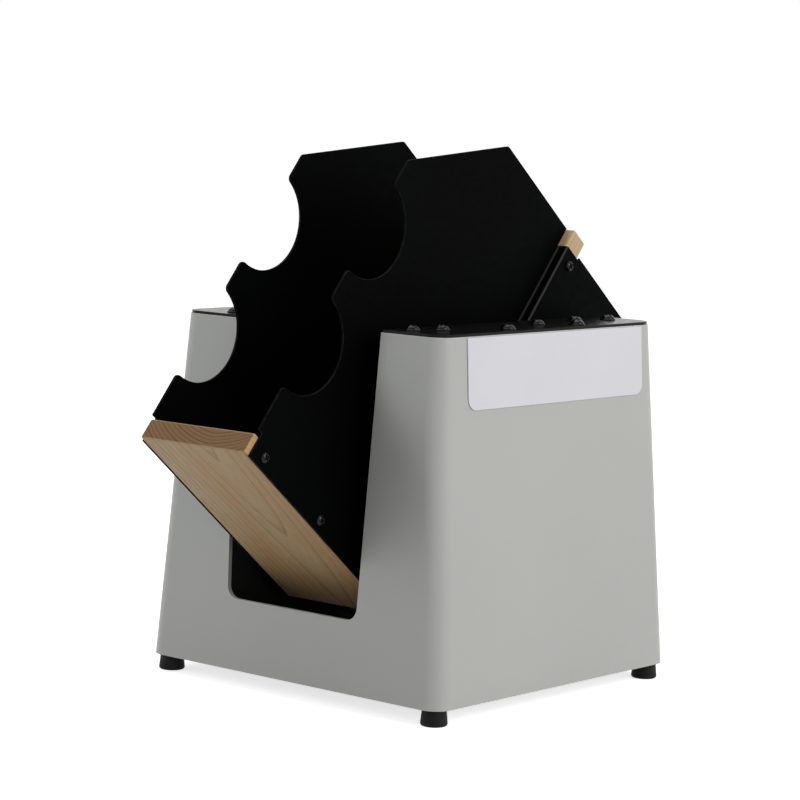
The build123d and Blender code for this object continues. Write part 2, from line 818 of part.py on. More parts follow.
for level, along, facing in (("lower", 0, 1), ("upper", slat_gauge, -1)):
    with BuildPart() as clamp_bolts:
        for pack_name, pack_x in packs:
            head_plane = pack_plane(pack_x).offset(facing * (slat_face + clamp_thickness))
            with BuildSketch(head_plane):
                with Locations(*[(y, along) for y in slat_bolt_ys]):
                    RegularPolygon(bolt_head_width / 2, 6, major_radius=False)
            extrude(amount=facing * bolt_head_height)
            with BuildSketch(head_plane):
                with Locations(*[(y, along) for y in slat_bolt_ys]):
                    Circle(clamp_bolt_diameter / 2)
            extrude(amount=-facing * (clamp_thickness + 2 * slat_face + clamp_bolt_grip))
    clamp_bolts.part.label = level + "_clamp_bolts"
    export_step(clamp_bolts.part, "parts/" + level + "_clamp_bolts.step")

with BuildPart() as base_bolts:
    with BuildSketch(Plane.XY.offset(base_top + block_foot_height)):
        with Locations(*block_bolt_points):
            RegularPolygon(bolt_head_width / 2, 6, major_radius=False)
    extrude(amount=bolt_head_height)
    with BuildSketch(Plane.XY.offset(base_top + block_foot_height)):
        with Locations(*block_bolt_points):
            Circle(clamp_bolt_diameter / 2)
    extrude(amount=base_bottom - base_top - block_foot_height)
base_bolts.part.label = "base_bolts"
export_step(base_bolts.part, "parts/base_bolts.step")

# ------------------------------------------------------------------ cradle

cradle_top = cradle_height + cradle_thickness
cradle_half = wing_inner
upper_block_xs = [
    pack_xz(pack_x, slat_gauge - clamp_half, slat_face)[0] + block_depth / 2
    for pack_name, pack_x in packs
]
upper_block_points = [(x, y) for x in upper_block_xs for y in block_bolt_ys]
hanger_front = core_front_x - air_gap - armature_thickness - hanger_thickness
hanger_bolt_points = [
    (hanger_front - hanger_foot / 2, y) for y in (-hanger_bolt_offset, hanger_bolt_offset)
]

with BuildPart() as cradle:
    with BuildSketch(Plane.XZ):
        with BuildLine():
            Polyline(
                (cradle_left, cradle_height),
                (cradle_right, cradle_height),
                (cradle_right, cradle_height + cradle_flange),
                (cradle_left + cradle_slant, cradle_height + cradle_flange),
                close=True,
            )
        make_face()
    extrude(amount=cradle_half, both=True)
    with BuildSketch(Plane.XY.offset(cradle_top)):
        with Locations(((cradle_left + cradle_right) / 2, 0)):
            Rectangle(2 * base_length, 2 * (cradle_half - cradle_thickness))
    extrude(amount=cradle_flange, mode=Mode.SUBTRACT)
    with BuildSketch(Plane.XY.offset(cradle_height)):
        with Locations(*upper_block_points, *hanger_bolt_points):
            Circle(bolt_hole)
    extrude(amount=cradle_thickness, mode=Mode.SUBTRACT)
    with BuildSketch(Plane.XZ):
        with Locations(*[(x, cradle_bolt_z) for x in cradle_bolt_xs]):
            Circle(bolt_hole)
    extrude(amount=cradle_half, both=True, mode=Mode.SUBTRACT)
cradle.part.label = "cradle"
export_step(cradle.part, "parts/cradle.step")

with BuildPart() as cradle_bolts:
    for side in (-1, 1):
        head_plane = Plane.XZ.offset(-side * wing_outer)
        with BuildSketch(head_plane):
            with Locations(*[(x, cradle_bolt_z) for x in cradle_bolt_xs]):
                RegularPolygon(bolt_head_width / 2, 6, major_radius=False)
        extrude(amount=-side * bolt_head_height)
        with BuildSketch(head_plane):
            with Locations(*[(x, cradle_bolt_z) for x in cradle_bolt_xs]):
                Circle(clamp_bolt_diameter / 2)
        extrude(amount=side * (sheet + cradle_thickness + cradle_bolt_end))
cradle_bolts.part.label = "cradle_bolts"
export_step(cradle_bolts.part, "parts/cradle_bolts.step")

with BuildPart() as block_bolts:
    with BuildSketch(Plane.XY.offset(cradle_top)):
        with Locations(*upper_block_points, *hanger_bolt_points):
            RegularPolygon(bolt_head_width / 2, 6, major_radius=False)
    extrude(amount=bolt_head_height)
    with BuildSketch(Plane.XY.offset(cradle_top)):
        with Locations(*upper_block_points, *hanger_bolt_points):
            Circle(clamp_bolt_diameter / 2)
    extrude(amount=-cradle_thickness - hanger_thickness)
block_bolts.part.label = "block_bolts"
export_step(block_bolts.part, "parts/block_bolts.step")

# ------------------------------------------------------------------ electromagnet and armature

window = (core_height - core_pole - 2 * core_leg) / 2
window_middle = core_pole / 2 + window / 2
core_back_x = core_front_x + core_depth
yoke_front_x = core_back_x - core_yoke

with BuildPart() as magnet_core:
    with BuildSketch(Plane.XZ):
        with Locations(((core_front_x + core_back_x) / 2, core_middle_z)):
            Rectangle(core_depth, core_height)
        for turn in (-1, 1):
            with Locations(((core_front_x + yoke_front_x) / 2, core_middle_z + turn * window_middle)):
                Rectangle(yoke_front_x - core_front_x, window, mode=Mode.SUBTRACT)
    extrude(amount=core_stack / 2, both=True)
    magnet_bolt_points = [
        (y, core_middle_z + z)
        for y in (-core_stack / 4, core_stack / 4)
        for z in (-window_middle, window_middle)
    ]
    with BuildSketch(Plane.YZ.offset(core_back_x)):
        with Locations(*magnet_bolt_points):
            Circle(magnet_bolt_diameter / 2 + thread_fit)
    extrude(amount=-core_yoke, mode=Mode.SUBTRACT)
magnet_core.part.label = "magnet_core"
export_step(magnet_core.part, "parts/magnet_core.step")

coil_width = core_stack + 2 * coil_overhang
coil_height = core_pole + 2 * (window - coil_gap)
with BuildPart() as magnet_coil:
    with BuildSketch(Plane.YZ.offset(yoke_front_x - coil_gap)):
        with Locations((0, core_middle_z)):
            RectangleRounded(coil_width, coil_height, coil_overhang / 2)
            Rectangle(core_stack + 2 * thread_fit, core_pole + 2 * thread_fit, mode=Mode.SUBTRACT)
    extrude(amount=-coil_length)
magnet_coil.part.label = "magnet_coil"
export_step(magnet_coil.part, "parts/magnet_coil.step")

with BuildPart() as magnet_bracket:
    bracket_top = core_middle_z + core_height / 2
    with BuildSketch(Plane.XZ):
        with BuildLine():
            Polyline(
                (bracket_back_x, base_top),
                (bracket_back_x, bracket_top),
                (core_back_x, bracket_top),
                (core_back_x, base_top + bracket_thickness),
                (bracket_back_x - bracket_foot, base_top + bracket_thickness),
                (bracket_back_x - bracket_foot, base_top),
                close=True,
            )
        make_face()
    extrude(amount=bracket_width / 2, both=True)
    with BuildSketch(Plane.YZ.offset(core_back_x)):
        with Locations(*magnet_bolt_points):
            Circle(magnet_bolt_diameter / 2 + thread_fit)
    extrude(amount=bracket_thickness, mode=Mode.SUBTRACT)
    with BuildSketch(Plane.XY.offset(base_top)):
        with Locations(*bracket_bolt_points):
            Circle(bolt_hole)
    extrude(amount=bracket_thickness, mode=Mode.SUBTRACT)
magnet_bracket.part.label = "magnet_bracket"
export_step(magnet_bracket.part, "parts/magnet_bracket.step")

with BuildPart() as magnet_bolts:
    with BuildSketch(Plane.YZ.offset(bracket_back_x)):
        with Locations(*magnet_bolt_points):
            RegularPolygon(small_head_width / 2, 6, major_radius=False)
    extrude(amount=small_head_height)
    with BuildSketch(Plane.YZ.offset(bracket_back_x)):
        with Locations(*magnet_bolt_points):
            Circle(magnet_bolt_diameter / 2)
    extrude(amount=-bracket_thickness - core_yoke)
    with BuildSketch(Plane.XY.offset(base_top + bracket_thickness)):
        with Locations(*bracket_bolt_points):
            RegularPolygon(bolt_head_width / 2, 6, major_radius=False)
    extrude(amount=bracket_head_height)
    with BuildSketch(Plane.XY.offset(base_top + bracket_thickness)):
        with Locations(*bracket_bolt_points):
            Circle(clamp_bolt_diameter / 2)
    extrude(amount=-bracket_thickness - base_plate_thickness)
magnet_bolts.part.label = "magnet_bolts"
export_step(magnet_bolts.part, "parts/magnet_bolts.step")

armature_back = hanger_front + hanger_thickness
armature_screw_points = [
    (y, core_middle_z + z)
    for y in (-core_stack / 4, core_stack / 4)
    for z in (-armature_screw_rise, armature_screw_rise)
]
armature_bottom = core_middle_z - armature_height / 2
with BuildPart() as armature_hanger:
    with BuildSketch(Plane.XZ):
        with BuildLine():
            Polyline(
                (hanger_front, armature_bottom),
                (armature_back, armature_bottom),
                (armature_back, cradle_height),
                (hanger_front - hanger_foot, cradle_height),
                (hanger_front - hanger_foot, cradle_height - hanger_thickness),
                (hanger_front, cradle_height - hanger_thickness),
                close=True,
            )
        make_face()
    extrude(amount=hanger_width / 2, both=True)
    with BuildSketch(Plane.YZ.offset(hanger_front)):
        with Locations(*armature_screw_points):
            Circle(magnet_bolt_diameter / 2 + thread_fit)
    extrude(amount=hanger_thickness, mode=Mode.SUBTRACT)
    with BuildSketch(Plane.XY.offset(cradle_height)):
        with Locations(*hanger_bolt_points):
            Circle(bolt_hole)
    extrude(amount=-hanger_thickness, mode=Mode.SUBTRACT)
armature_hanger.part.label = "armature_hanger"
export_step(armature_hanger.part, "parts/armature_hanger.step")

with BuildPart() as armature:
    with BuildSketch(Plane.YZ.offset(armature_back)):
        with Locations((0, core_middle_z)):
            Rectangle(core_stack, armature_height)
        with Locations(*armature_screw_points):
            Circle(magnet_bolt_diameter / 2 + thread_fit, mode=Mode.SUBTRACT)
    extrude(amount=armature_thickness)
armature.part.label = "armature"
export_step(armature.part, "parts/armature.step")

with BuildPart() as armature_screws:
    with BuildSketch(Plane.YZ.offset(hanger_front)):
        with Locations(*armature_screw_points):
            RegularPolygon(small_head_width / 2, 6, major_radius=False)
    extrude(amount=-small_head_height)
    with BuildSketch(Plane.YZ.offset(hanger_front)):
        with Locations(*armature_screw_points):
            Circle(magnet_bolt_diameter / 2)
    extrude(amount=hanger_thickness + armature_thickness)
armature_screws.part.label = "armature_screws"
export_step(armature_screws.part, "parts/armature_screws.step")

# ------------------------------------------------------------------ controls

knob_plane = face_plane(1, knob_x, controls_height)
switch_plane = face_plane(1, switch_x, controls_height)
gland_plane = face_plane(1, gland_x, gland_z)

with BuildPart() as speed_control:
    with BuildSketch(knob_plane.offset(-casing_wall - nut_height)):
        Circle(control_body_diameter / 2)
    extrude(amount=-control_body_depth)
    with BuildSketch(knob_plane.offset(-casing_wall - nut_height)):
        Circle(bush_diameter / 2)
    extrude(amount=casing_wall + 2 * nut_height)
    with BuildSketch(knob_plane.offset(-casing_wall - nut_height)):
        Circle(shaft_diameter / 2 + shaft_fit)
    extrude(amount=casing_wall + 2 * nut_height, mode=Mode.SUBTRACT)
speed_control.part.label = "speed_control"
export_step(speed_control.part, "parts/speed_control.step")

with BuildPart() as control_nuts:
    for height in (0.0, -casing_wall - nut_height):
        with BuildSketch(knob_plane.offset(height)):
            RegularPolygon(nut_width / 2, 6, major_radius=False)
            Circle(bush_diameter / 2 + thread_fit, mode=Mode.SUBTRACT)
        extrude(amount=nut_height)
control_nuts.part.label = "control_nuts"
export_step(control_nuts.part, "parts/control_nuts.step")

knob_seat = nut_height + knob_gap
with BuildPart() as speed_knob:
    with BuildSketch(knob_plane.offset(knob_gap)):
        Circle(knob_diameter / 2)
    extrude(amount=knob_skirt)
    with BuildSketch(knob_plane.offset(knob_gap + knob_skirt)):
        Circle(knob_diameter / 2 - knob_skirt)
        with PolarLocations(knob_diameter / 2 - knob_skirt, knob_flutes):
            Circle(knob_flute_radius, mode=Mode.SUBTRACT)
    extrude(amount=knob_height - knob_skirt)
    # recess round the nut and the bush
    with BuildSketch(knob_plane.offset(knob_gap)):
        Circle(nut_width / 2 + knob_nut_room)
    extrude(amount=knob_seat, mode=Mode.SUBTRACT)
    # shaft, pressed in the knob and turning in the bush
    with BuildSketch(knob_plane.offset(knob_gap + knob_seat)):
        Circle(shaft_diameter / 2)
    extrude(amount=-knob_gap - knob_seat - casing_wall - nut_height)
    with BuildSketch(knob_plane.offset(knob_gap + knob_height)):
        with Locations((0, knob_diameter / 4)):
            SlotOverall(knob_diameter / 4, pointer_width, rotation=90)
    extrude(amount=-pointer_depth, mode=Mode.SUBTRACT)
speed_knob.part.label = "speed_knob"
export_step(speed_knob.part, "parts/speed_knob.step")

bezel_height = switch_cut_height + 2 * switch_bezel
bezel_width = switch_cut_width + 2 * switch_bezel
with BuildPart() as switch_housing:
    with BuildSketch(switch_plane):
        RectangleRounded(bezel_width, bezel_height, switch_bezel_corner)
    extrude(amount=switch_bezel_thickness)
    with BuildSketch(switch_plane):
        Rectangle(switch_cut_width - 2 * thread_fit, switch_cut_height - 2 * thread_fit)
    extrude(amount=-switch_body_depth)
    with BuildSketch(switch_plane.offset(switch_bezel_thickness)):
        Rectangle(rocker_width + 2 * rocker_fit, rocker_length + 2 * rocker_swing)
    extrude(amount=-switch_bezel_thickness - pocket_depth, mode=Mode.SUBTRACT)
switch_housing.part.label = "switch_housing"
export_step(switch_housing.part, "parts/switch_housing.step")

# rocker: two faces that meet over its pivot; at rest (off) the lower one lies level
rocker_half_angle = radians(rocker_angle / 2)
rocker_rise = (switch_bezel_thickness + pivot_depth) / cos(rocker_half_angle)
rocker_end = rocker_length / 2
switch_up = switch_plane.y_dir
switch_out = switch_plane.z_dir
rocker_frame = Plane(
    origin=switch_plane.origin - switch_out * pivot_depth,
    x_dir=switch_up * cos(rocker_half_angle) + switch_out * sin(rocker_half_angle),
    z_dir=switch_plane.x_dir,
)
with BuildPart() as power_rocker:
    with BuildSketch(rocker_frame):
        with BuildLine():
            Polyline(
                (-rocker_end, rocker_rise + rocker_end * tan(rocker_half_angle)),
                (0, rocker_rise),
                (rocker_end, rocker_rise + rocker_end * tan(rocker_half_angle)),
                (rocker_end, 0),
                (rocker_toe, -rocker_depth),
                (-rocker_toe, -rocker_depth),
                (-rocker_end, 0),
                close=True,
            )
        make_face()
    extrude(amount=rocker_width / 2, both=True)
power_rocker.part.label = "power_rocker"
export_step(power_rocker.part, "parts/power_rocker.step")

with BuildPart() as cord_gland:
    with BuildSketch(gland_plane):
        RegularPolygon(gland_flange / 2, 6, major_radius=False)
    extrude(amount=gland_flange_thickness)
    with BuildSketch(gland_plane.offset(gland_flange_thickness)):
        Circle(gland_flange / 2 - gland_shoulder)
    extrude(amount=gland_nose, taper=gland_nose_taper)
    with BuildSketch(gland_plane):
        Circle(gland_barrel / 2)
    extrude(amount=-(gland_length - gland_nose - gland_flange_thickness))
    with BuildSketch(gland_plane.offset(gland_flange_thickness + gland_nose)):
        Circle(gland_bore / 2)
    extrude(amount=-gland_length, mode=Mode.SUBTRACT)
cord_gland.part.label = "cord_gland"
export_step(cord_gland.part, "parts/cord_gland.step")

standoff_points = [
    (sx * (board_length / 2 - standoff_inset), board_z + sz * (board_height / 2 - standoff_inset))
    for sx in (-1, 1)
    for sz in (-1, 1)
]
standoff_base = channel_half + inner_wall_thickness
with BuildPart() as control_board:
    with BuildSketch(Plane.XZ.offset(-standoff_base - standoff_length)):
        with Locations((0, board_z)):
            Rectangle(board_length, board_height)
    extrude(amount=-board_sheet)
control_board.part.label = "control_board"
export_step(control_board.part, "parts/control_board.step")

with BuildPart() as board_standoffs:
    with BuildSketch(Plane.XZ.offset(-standoff_base)):
        with Locations(*standoff_points):
            Circle(standoff_diameter / 2)
    extrude(amount=-standoff_length)
board_standoffs.part.label = "board_standoffs"
export_step(board_standoffs.part, "parts/board_standoffs.step")
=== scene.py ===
"""Looks of the paper jogger: fine forms, finishes, stage and camera round the CAD nodes."""

import json
import logging
from collections.abc import Callable
from dataclasses import dataclass
from enum import Enum
from functools import cache, wraps
from math import cos, pi, radians, sin

import bmesh
import bpy
import numpy as np
from mathutils import Matrix, Vector
from numpy.typing import NDArray

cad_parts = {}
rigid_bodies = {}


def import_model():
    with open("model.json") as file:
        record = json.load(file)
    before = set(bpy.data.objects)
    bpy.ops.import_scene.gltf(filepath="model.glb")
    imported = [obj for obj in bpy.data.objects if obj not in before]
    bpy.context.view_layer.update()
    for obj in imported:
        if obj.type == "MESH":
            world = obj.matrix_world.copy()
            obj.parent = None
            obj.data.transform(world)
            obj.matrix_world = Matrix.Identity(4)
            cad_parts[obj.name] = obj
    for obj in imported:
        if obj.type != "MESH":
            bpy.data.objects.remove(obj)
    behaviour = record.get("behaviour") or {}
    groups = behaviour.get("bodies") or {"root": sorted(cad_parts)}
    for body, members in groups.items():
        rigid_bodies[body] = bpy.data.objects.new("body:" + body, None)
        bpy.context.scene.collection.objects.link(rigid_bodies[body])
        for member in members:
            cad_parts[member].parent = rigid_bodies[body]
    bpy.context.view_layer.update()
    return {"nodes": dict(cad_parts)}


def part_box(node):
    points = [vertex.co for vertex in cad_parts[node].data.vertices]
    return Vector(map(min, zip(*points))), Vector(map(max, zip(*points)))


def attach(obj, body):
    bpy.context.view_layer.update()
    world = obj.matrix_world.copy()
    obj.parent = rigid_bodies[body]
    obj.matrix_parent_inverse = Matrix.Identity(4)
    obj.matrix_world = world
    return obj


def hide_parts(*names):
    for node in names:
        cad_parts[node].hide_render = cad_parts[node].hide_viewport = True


for leftover in list(bpy.data.objects):
    bpy.data.objects.remove(leftover)
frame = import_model()

log = logging.getLogger("jogger")

Grid = NDArray[np.float64]
Rgb = tuple[int, int, int]
Point = tuple[float, float, float]
Pair = tuple[float, float]
Socket = bpy.types.NodeSocket
Sockets = bpy.types.bpy_prop_collection

MERGE = 2e-6  # m, points closer than this are one point
FLAT_ANGLE = radians(0.5)  # below it neighbouring faces are one flat
EDGE_ANGLE = radians(32.0)  # above it an edge is sharp
SPINS = 16  # random turns drawn for a set of screws
LEAST_CORNER = 0.02  # of an eased bar's radius, left at its end faces
TABLET_STEPS = 6  # points on each corner of a tablet

BIN_TILT = radians(39.67)  # that the floor board rises by
BIN_DATUM = (0.0003, 0.0, 0.0124)  # m, the corner of the V
FACE_LEAN = radians(3.70)  # of the casing's front and rear faces
REAR_LEVEL = (-1.0, 0.0, 0.0)  # to the right of someone who faces the rear


class Body(Enum):
    """The bodies that pieces ride on."""

    BASE = "base"
    BIN = "bin"
    LEFT_SLATS = "left_slats"
    RIGHT_SLATS = "right_slats"
    KNOB = "knob"
    ROCKER = "rocker"


# --- places and surfaces ---


@dataclass(frozen=True)
class Placing:
    """A point and three square directions that carry local points into the row frame."""

    origin: Point
    along: Point
    across: Point
    outward: Point

    def axes(self) -> Grid:
        """The three directions as the rows of a matrix."""
        return np.array([self.along, self.across, self.outward])

    def carry(self, points: Grid) -> Grid:
        """Takes an array of local points into the row frame."""
        return points @ self.axes() + np.array(self.origin)

    def read(self, points: Grid) -> Grid:
        """Takes an array of points of the row frame into local ones."""
        return (points - np.array(self.origin)) @ self.axes().T


BIN_PLACING = Placing(
    BIN_DATUM,
    (-cos(BIN_TILT), 0.0, sin(BIN_TILT)),
    (sin(BIN_TILT), 0.0, cos(BIN_TILT)),
    (0.0, 1.0, 0.0),
)


def upright(place: Point) -> Placing:
    """A placing at a point, along the row frame's own axes."""
    return Placing(place, (1, 0, 0), (0, 1, 0), (0, 0, 1))


def new_object(name: str, data: bpy.types.ID) -> bpy.types.Object:
    """A new object that stands in the scene.

    Args:
        name: its name.
        data: its mesh, lamp or camera.

    Returns:
        The object.
    """
    made = bpy.data.objects.new(name, data)
    bpy.context.scene.collection.objects.link(made)
    return made


def node_points(node: str) -> Grid:
    """All vertices of a CAD node, in the row frame.

    Args:
        node: the node's name.

    Returns:
        An array of n points.
    """
    mesh = frame["nodes"][node].data
    flat = np.empty(3 * len(mesh.vertices))
    mesh.vertices.foreach_get("co", flat)
    return flat.reshape(-1, 3)


def merged_copy(node: str) -> bmesh.types.BMesh:
    """A copy of a CAD node with its loose triangles merged and its flat ones joined.

    Args:
        node: the node's name.

    Returns:
        A new bmesh that the caller frees.
    """
    shape = bmesh.new()
    shape.from_mesh(frame["nodes"][node].data)
    bmesh.ops.remove_doubles(shape, verts=shape.verts, dist=MERGE)
    bmesh.ops.dissolve_limit(shape, angle_limit=FLAT_ANGLE, verts=shape.verts, edges=shape.edges)
    return shape


def solid_centres(node: str) -> Grid:
    """The middle of the box of each separate solid in a CAD node.

    Args:
        node: the node's name.

    Returns:
        An array of n points, sorted by x, then y.
    """
    shape = merged_copy(node)
    waiting = set(shape.verts)
    middles = []
    while waiting:
        growing = [waiting.pop()]
        solid = list(growing)
        while growing:
            vertex = growing.pop()
            fresh = {edge.other_vert(vertex) for edge in vertex.link_edges} & waiting
            waiting -= fresh
            growing.extend(fresh)
            solid.extend(fresh)
        places = np.array([v.co for v in solid])
        middles.append((places.min(0) + places.max(0)) / 2)
    shape.free()
    return np.array(sorted(map(tuple, middles)))


def rounded_loop(half_a: Grid, half_b: Grid, radius: Grid, steps: int) -> Grid:
    """Rounded rectangles, one for each row.

    A corner point is the corner's centre, at the half size less the radius, plus the radius
    turned through a quarter circle.

    Args:
        half_a: half the first size, for each row.
        half_b: half the second size, for each row.
        radius: the corner radius, for each row.
        steps: points on each corner.

    Returns:
        A rows x (4 * steps) x 2 array.
    """
    angles = (np.arange(4)[:, None] * pi / 2 + np.linspace(0, pi / 2, steps)).ravel()
    sign_a = np.repeat([1.0, -1.0, -1.0, 1.0], steps)
    sign_b = np.repeat([1.0, 1.0, -1.0, -1.0], steps)
    a, b, r = (np.atleast_1d(x)[:, None] for x in (half_a, half_b, radius))
    first, second = sign_a * (a - r) + r * np.cos(angles), sign_b * (b - r) + r * np.sin(angles)
    return np.stack([first, second], axis=-1)


def eased_bar(low: Grid, high: Grid, radius: float, steps: int) -> tuple[Grid, Grid]:
    """A bar along its first axis with every edge eased, as one grid.

    Each row is a rounded rectangle. At the ends the rows shrink by radius * (1 - sin t) and
    move by radius * (1 - cos t), a quarter circle, and a last row closes on the middle.

    Args:
        low: the lowest corner.
        high: the highest corner.
        radius: how far the edges are eased.
        steps: points on each corner.

    Returns:
        The grid, and for each row 1 at the end faces and 0 along the bar.
    """
    turn = np.linspace(0, pi / 2, steps)
    shrink = np.concatenate([radius * (1 - np.sin(turn)), radius * (1 - np.sin(turn[::-1]))])
    near = low[0] + radius * (1 - np.cos(turn))
    stations = np.concatenate([near, (low[0] + high[0] - near)[::-1]])
    half = (high - low) / 2
    middle = (high + low) / 2
    corner = np.maximum(radius - shrink, radius * LEAST_CORNER)
    loops = rounded_loop(half[1] - shrink, half[2] - shrink, corner, steps) + middle[1:]
    along = np.broadcast_to(stations[:, None, None], (*loops.shape[:2], 1))
    grid = np.concatenate([along, loops], axis=-1)
    centre = np.broadcast_to(middle, grid[:1].shape).copy()
    first, last = centre.copy(), centre.copy()
    first[..., 0], last[..., 0] = low[0], high[0]
    ends = np.concatenate([[1.0], 1 - np.sin(turn), (1 - np.sin(turn))[::-1], [1.0]])
    return np.concatenate([first, grid, last]), ends


def turned(profile: Grid, segments: int) -> Grid:
    """A surface of revolution about local z: (r cos a, r sin a, h) for a profile of (r, h).

    Args:
        profile: n points of radius and height.
        segments: points round the circle.

    Returns:
        An n x segments x 3 grid.
    """
    angle = np.linspace(0, 2 * pi, segments, endpoint=False)
    r, h = profile[:, :1], profile[:, 1:]
    return np.stack([r * np.cos(angle), r * np.sin(angle), h + 0 * angle], axis=-1)


def smooth_step(low: float, high: float, x: Grid) -> Grid:
    """Rises from 0 at low to 1 at high along 3 t^2 - 2 t^3."""
    t = np.clip((x - low) / (high - low), 0, 1)
    return t * t * (3 - 2 * t)


class Shell:
    """Gathers surface grids into one closed piece."""

    def __init__(self, name: str) -> None:
        """Starts an empty shell.

        Args:
            name: the piece's name.
        """
        self.name = name
        self.points: list[Grid] = []
        self.faces: list[NDArray[np.int64]] = []
        self.marks: list[Grid] = []
        self.count = 0

    def add(
        self, grid: Grid, placing: Placing | None = None, mark: Grid | None = None
    ) -> "Shell":
        """Adds one grid of points as four-sided faces, its last column joined to its first.

        Args:
            grid: a rows x columns x 3 array.
            placing: where the grid stands, or None for the row frame.
            mark: one value for each row, kept on the points.

        Returns:
            This shell.
        """
        rows, columns = grid.shape[:2]
        index = np.arange(rows * columns).reshape(rows, columns)
        index = np.concatenate([index, index[:, :1]], axis=1)
        corners = [index[:-1, :-1], index[:-1, 1:], index[1:, 1:], index[1:, :-1]]
        self.faces.append(np.stack(corners, axis=-1).reshape(-1, 4) + self.count)
        flat = grid.reshape(-1, 3)
        self.points.append(flat if placing is None else placing.carry(flat))
        row_mark = np.zeros(rows) if mark is None else mark
        self.marks.append(np.repeat(row_mark, columns))
        self.count += rows * columns
        return self

    def piece(self) -> bpy.types.Object:
        """Joins the grids into one mesh, its seams and poles merged and its faces outward.

        Returns:
            The piece, standing in the scene.
        """
        mesh = bpy.data.meshes.new(self.name)
        mesh.from_pydata(np.concatenate(self.points), [], np.concatenate(self.faces).tolist())
        mark = mesh.attributes.new("mark", "FLOAT", "POINT")
        mark.data.foreach_set("value", np.concatenate(self.marks).astype(np.float32))
        shape = bmesh.new()
        shape.from_mesh(mesh)
        bmesh.ops.remove_doubles(shape, verts=shape.verts, dist=MERGE)
        bmesh.ops.dissolve_degenerate(shape, dist=MERGE, edges=shape.edges)
        bmesh.ops.recalc_face_normals(shape, faces=shape.faces)
        shape.to_mesh(mesh)
        shape.free()
        return shown(self.name, mesh)


def shown(name: str, mesh: bpy.types.Mesh) -> bpy.types.Object:
    """Stands a mesh in the scene, shaded smooth between its edges and level on its flats.

    Args:
        name: the object's name.
        mesh: its mesh, with its place in it.

    Returns:
        The new object.
    """
    mesh.shade_smooth()
    mesh.set_sharp_from_angle(angle=EDGE_ANGLE)
    piece = new_object(name, mesh)
    level = piece.modifiers.new("level_flats", "WEIGHTED_NORMAL")
    level.keep_sharp = True
    return piece


def eased_node(
    node: str,
    edge: float,
    mark_from: Point | None = None,
    marked: tuple[float, float, float, float] = (0.3, 0.9, 1.1, 1.2),
) -> bpy.types.Object:
    """A copy of a CAD node with its sharp edges rounded.

    Args:
        node: the node's name.
        edge: the width of the rounding.
        mark_from: a direction; faces are marked by how far their normals lie along it.
        marked: the shares of a normal along it where the mark rises from 0, reaches 1,
            starts to fall and is 0 again.

    Returns:
        The new object.
    """
    shape = merged_copy(node)
    sharp = [e for e in shape.edges if e.is_manifold and e.calc_face_angle() > EDGE_ANGLE]
    round_off = {"offset_type": "OFFSET", "segments": 2, "profile": 0.5, "affect": "EDGES"}
    bmesh.ops.bevel(shape, geom=sharp, offset=edge, clamp_overlap=True, **round_off)
    mesh = bpy.data.meshes.new(node + "_eased")
    shape.to_mesh(mesh)
    shape.free()
    if mark_from:
        normals = np.empty(3 * len(mesh.polygons))
        mesh.polygons.foreach_get("normal", normals)
        share = abs(normals.reshape(-1, 3) @ np.array(mark_from))
        value = smooth_step(*marked[:2], share) * (1 - smooth_step(*marked[2:], share))
        mark = mesh.attributes.new("mark", "FLOAT", "FACE")
        mark.data.foreach_set("value", value.astype(np.float32))
    return shown(node + "_eased", mesh)


def tablet(half_a: float, half_b: float, radius: float, low: float, high: float) -> Grid:
    """A thin rounded tablet that stands on local z.

    Its rows are a middle point, the outline, the outline again below the top, the outline
    drawn in by a third of the thickness, and a middle point on top.

    Args:
        half_a: half its first size.
        half_b: half its second size.
        radius: its corner radius.
        low: where it starts.
        high: where it ends.

    Returns:
        A grid that closes on its two middles.
    """
    ease = (high - low) / 3
    inset = np.array([0.0, 0.0, ease])
    loops = rounded_loop(half_a - inset, half_b - inset, radius - inset, TABLET_STEPS)
    middle = np.zeros_like(loops[:1])
    flat = np.concatenate([middle, loops, middle])
    height = np.array([low, low, high - ease, high, high])
    tall = np.broadcast_to(height[:, None, None], (*flat.shape[:2], 1))
    return np.concatenate([flat, tall], axis=-1)


# --- shader wiring ---


def linear(colour: Rgb) -> tuple[float, float, float, float]:
    """Turns a display colour into the shader's linear values.

    Args:
        colour: red, green and blue from 0 to 255.

    Returns:
        The three values and an alpha of 1.
    """
    share = np.array(colour) / 255
    value = np.where(share <= 0.04045, share / 12.92, ((share + 0.055) / 1.055) ** 2.4)
    return (*value.tolist(), 1.0)


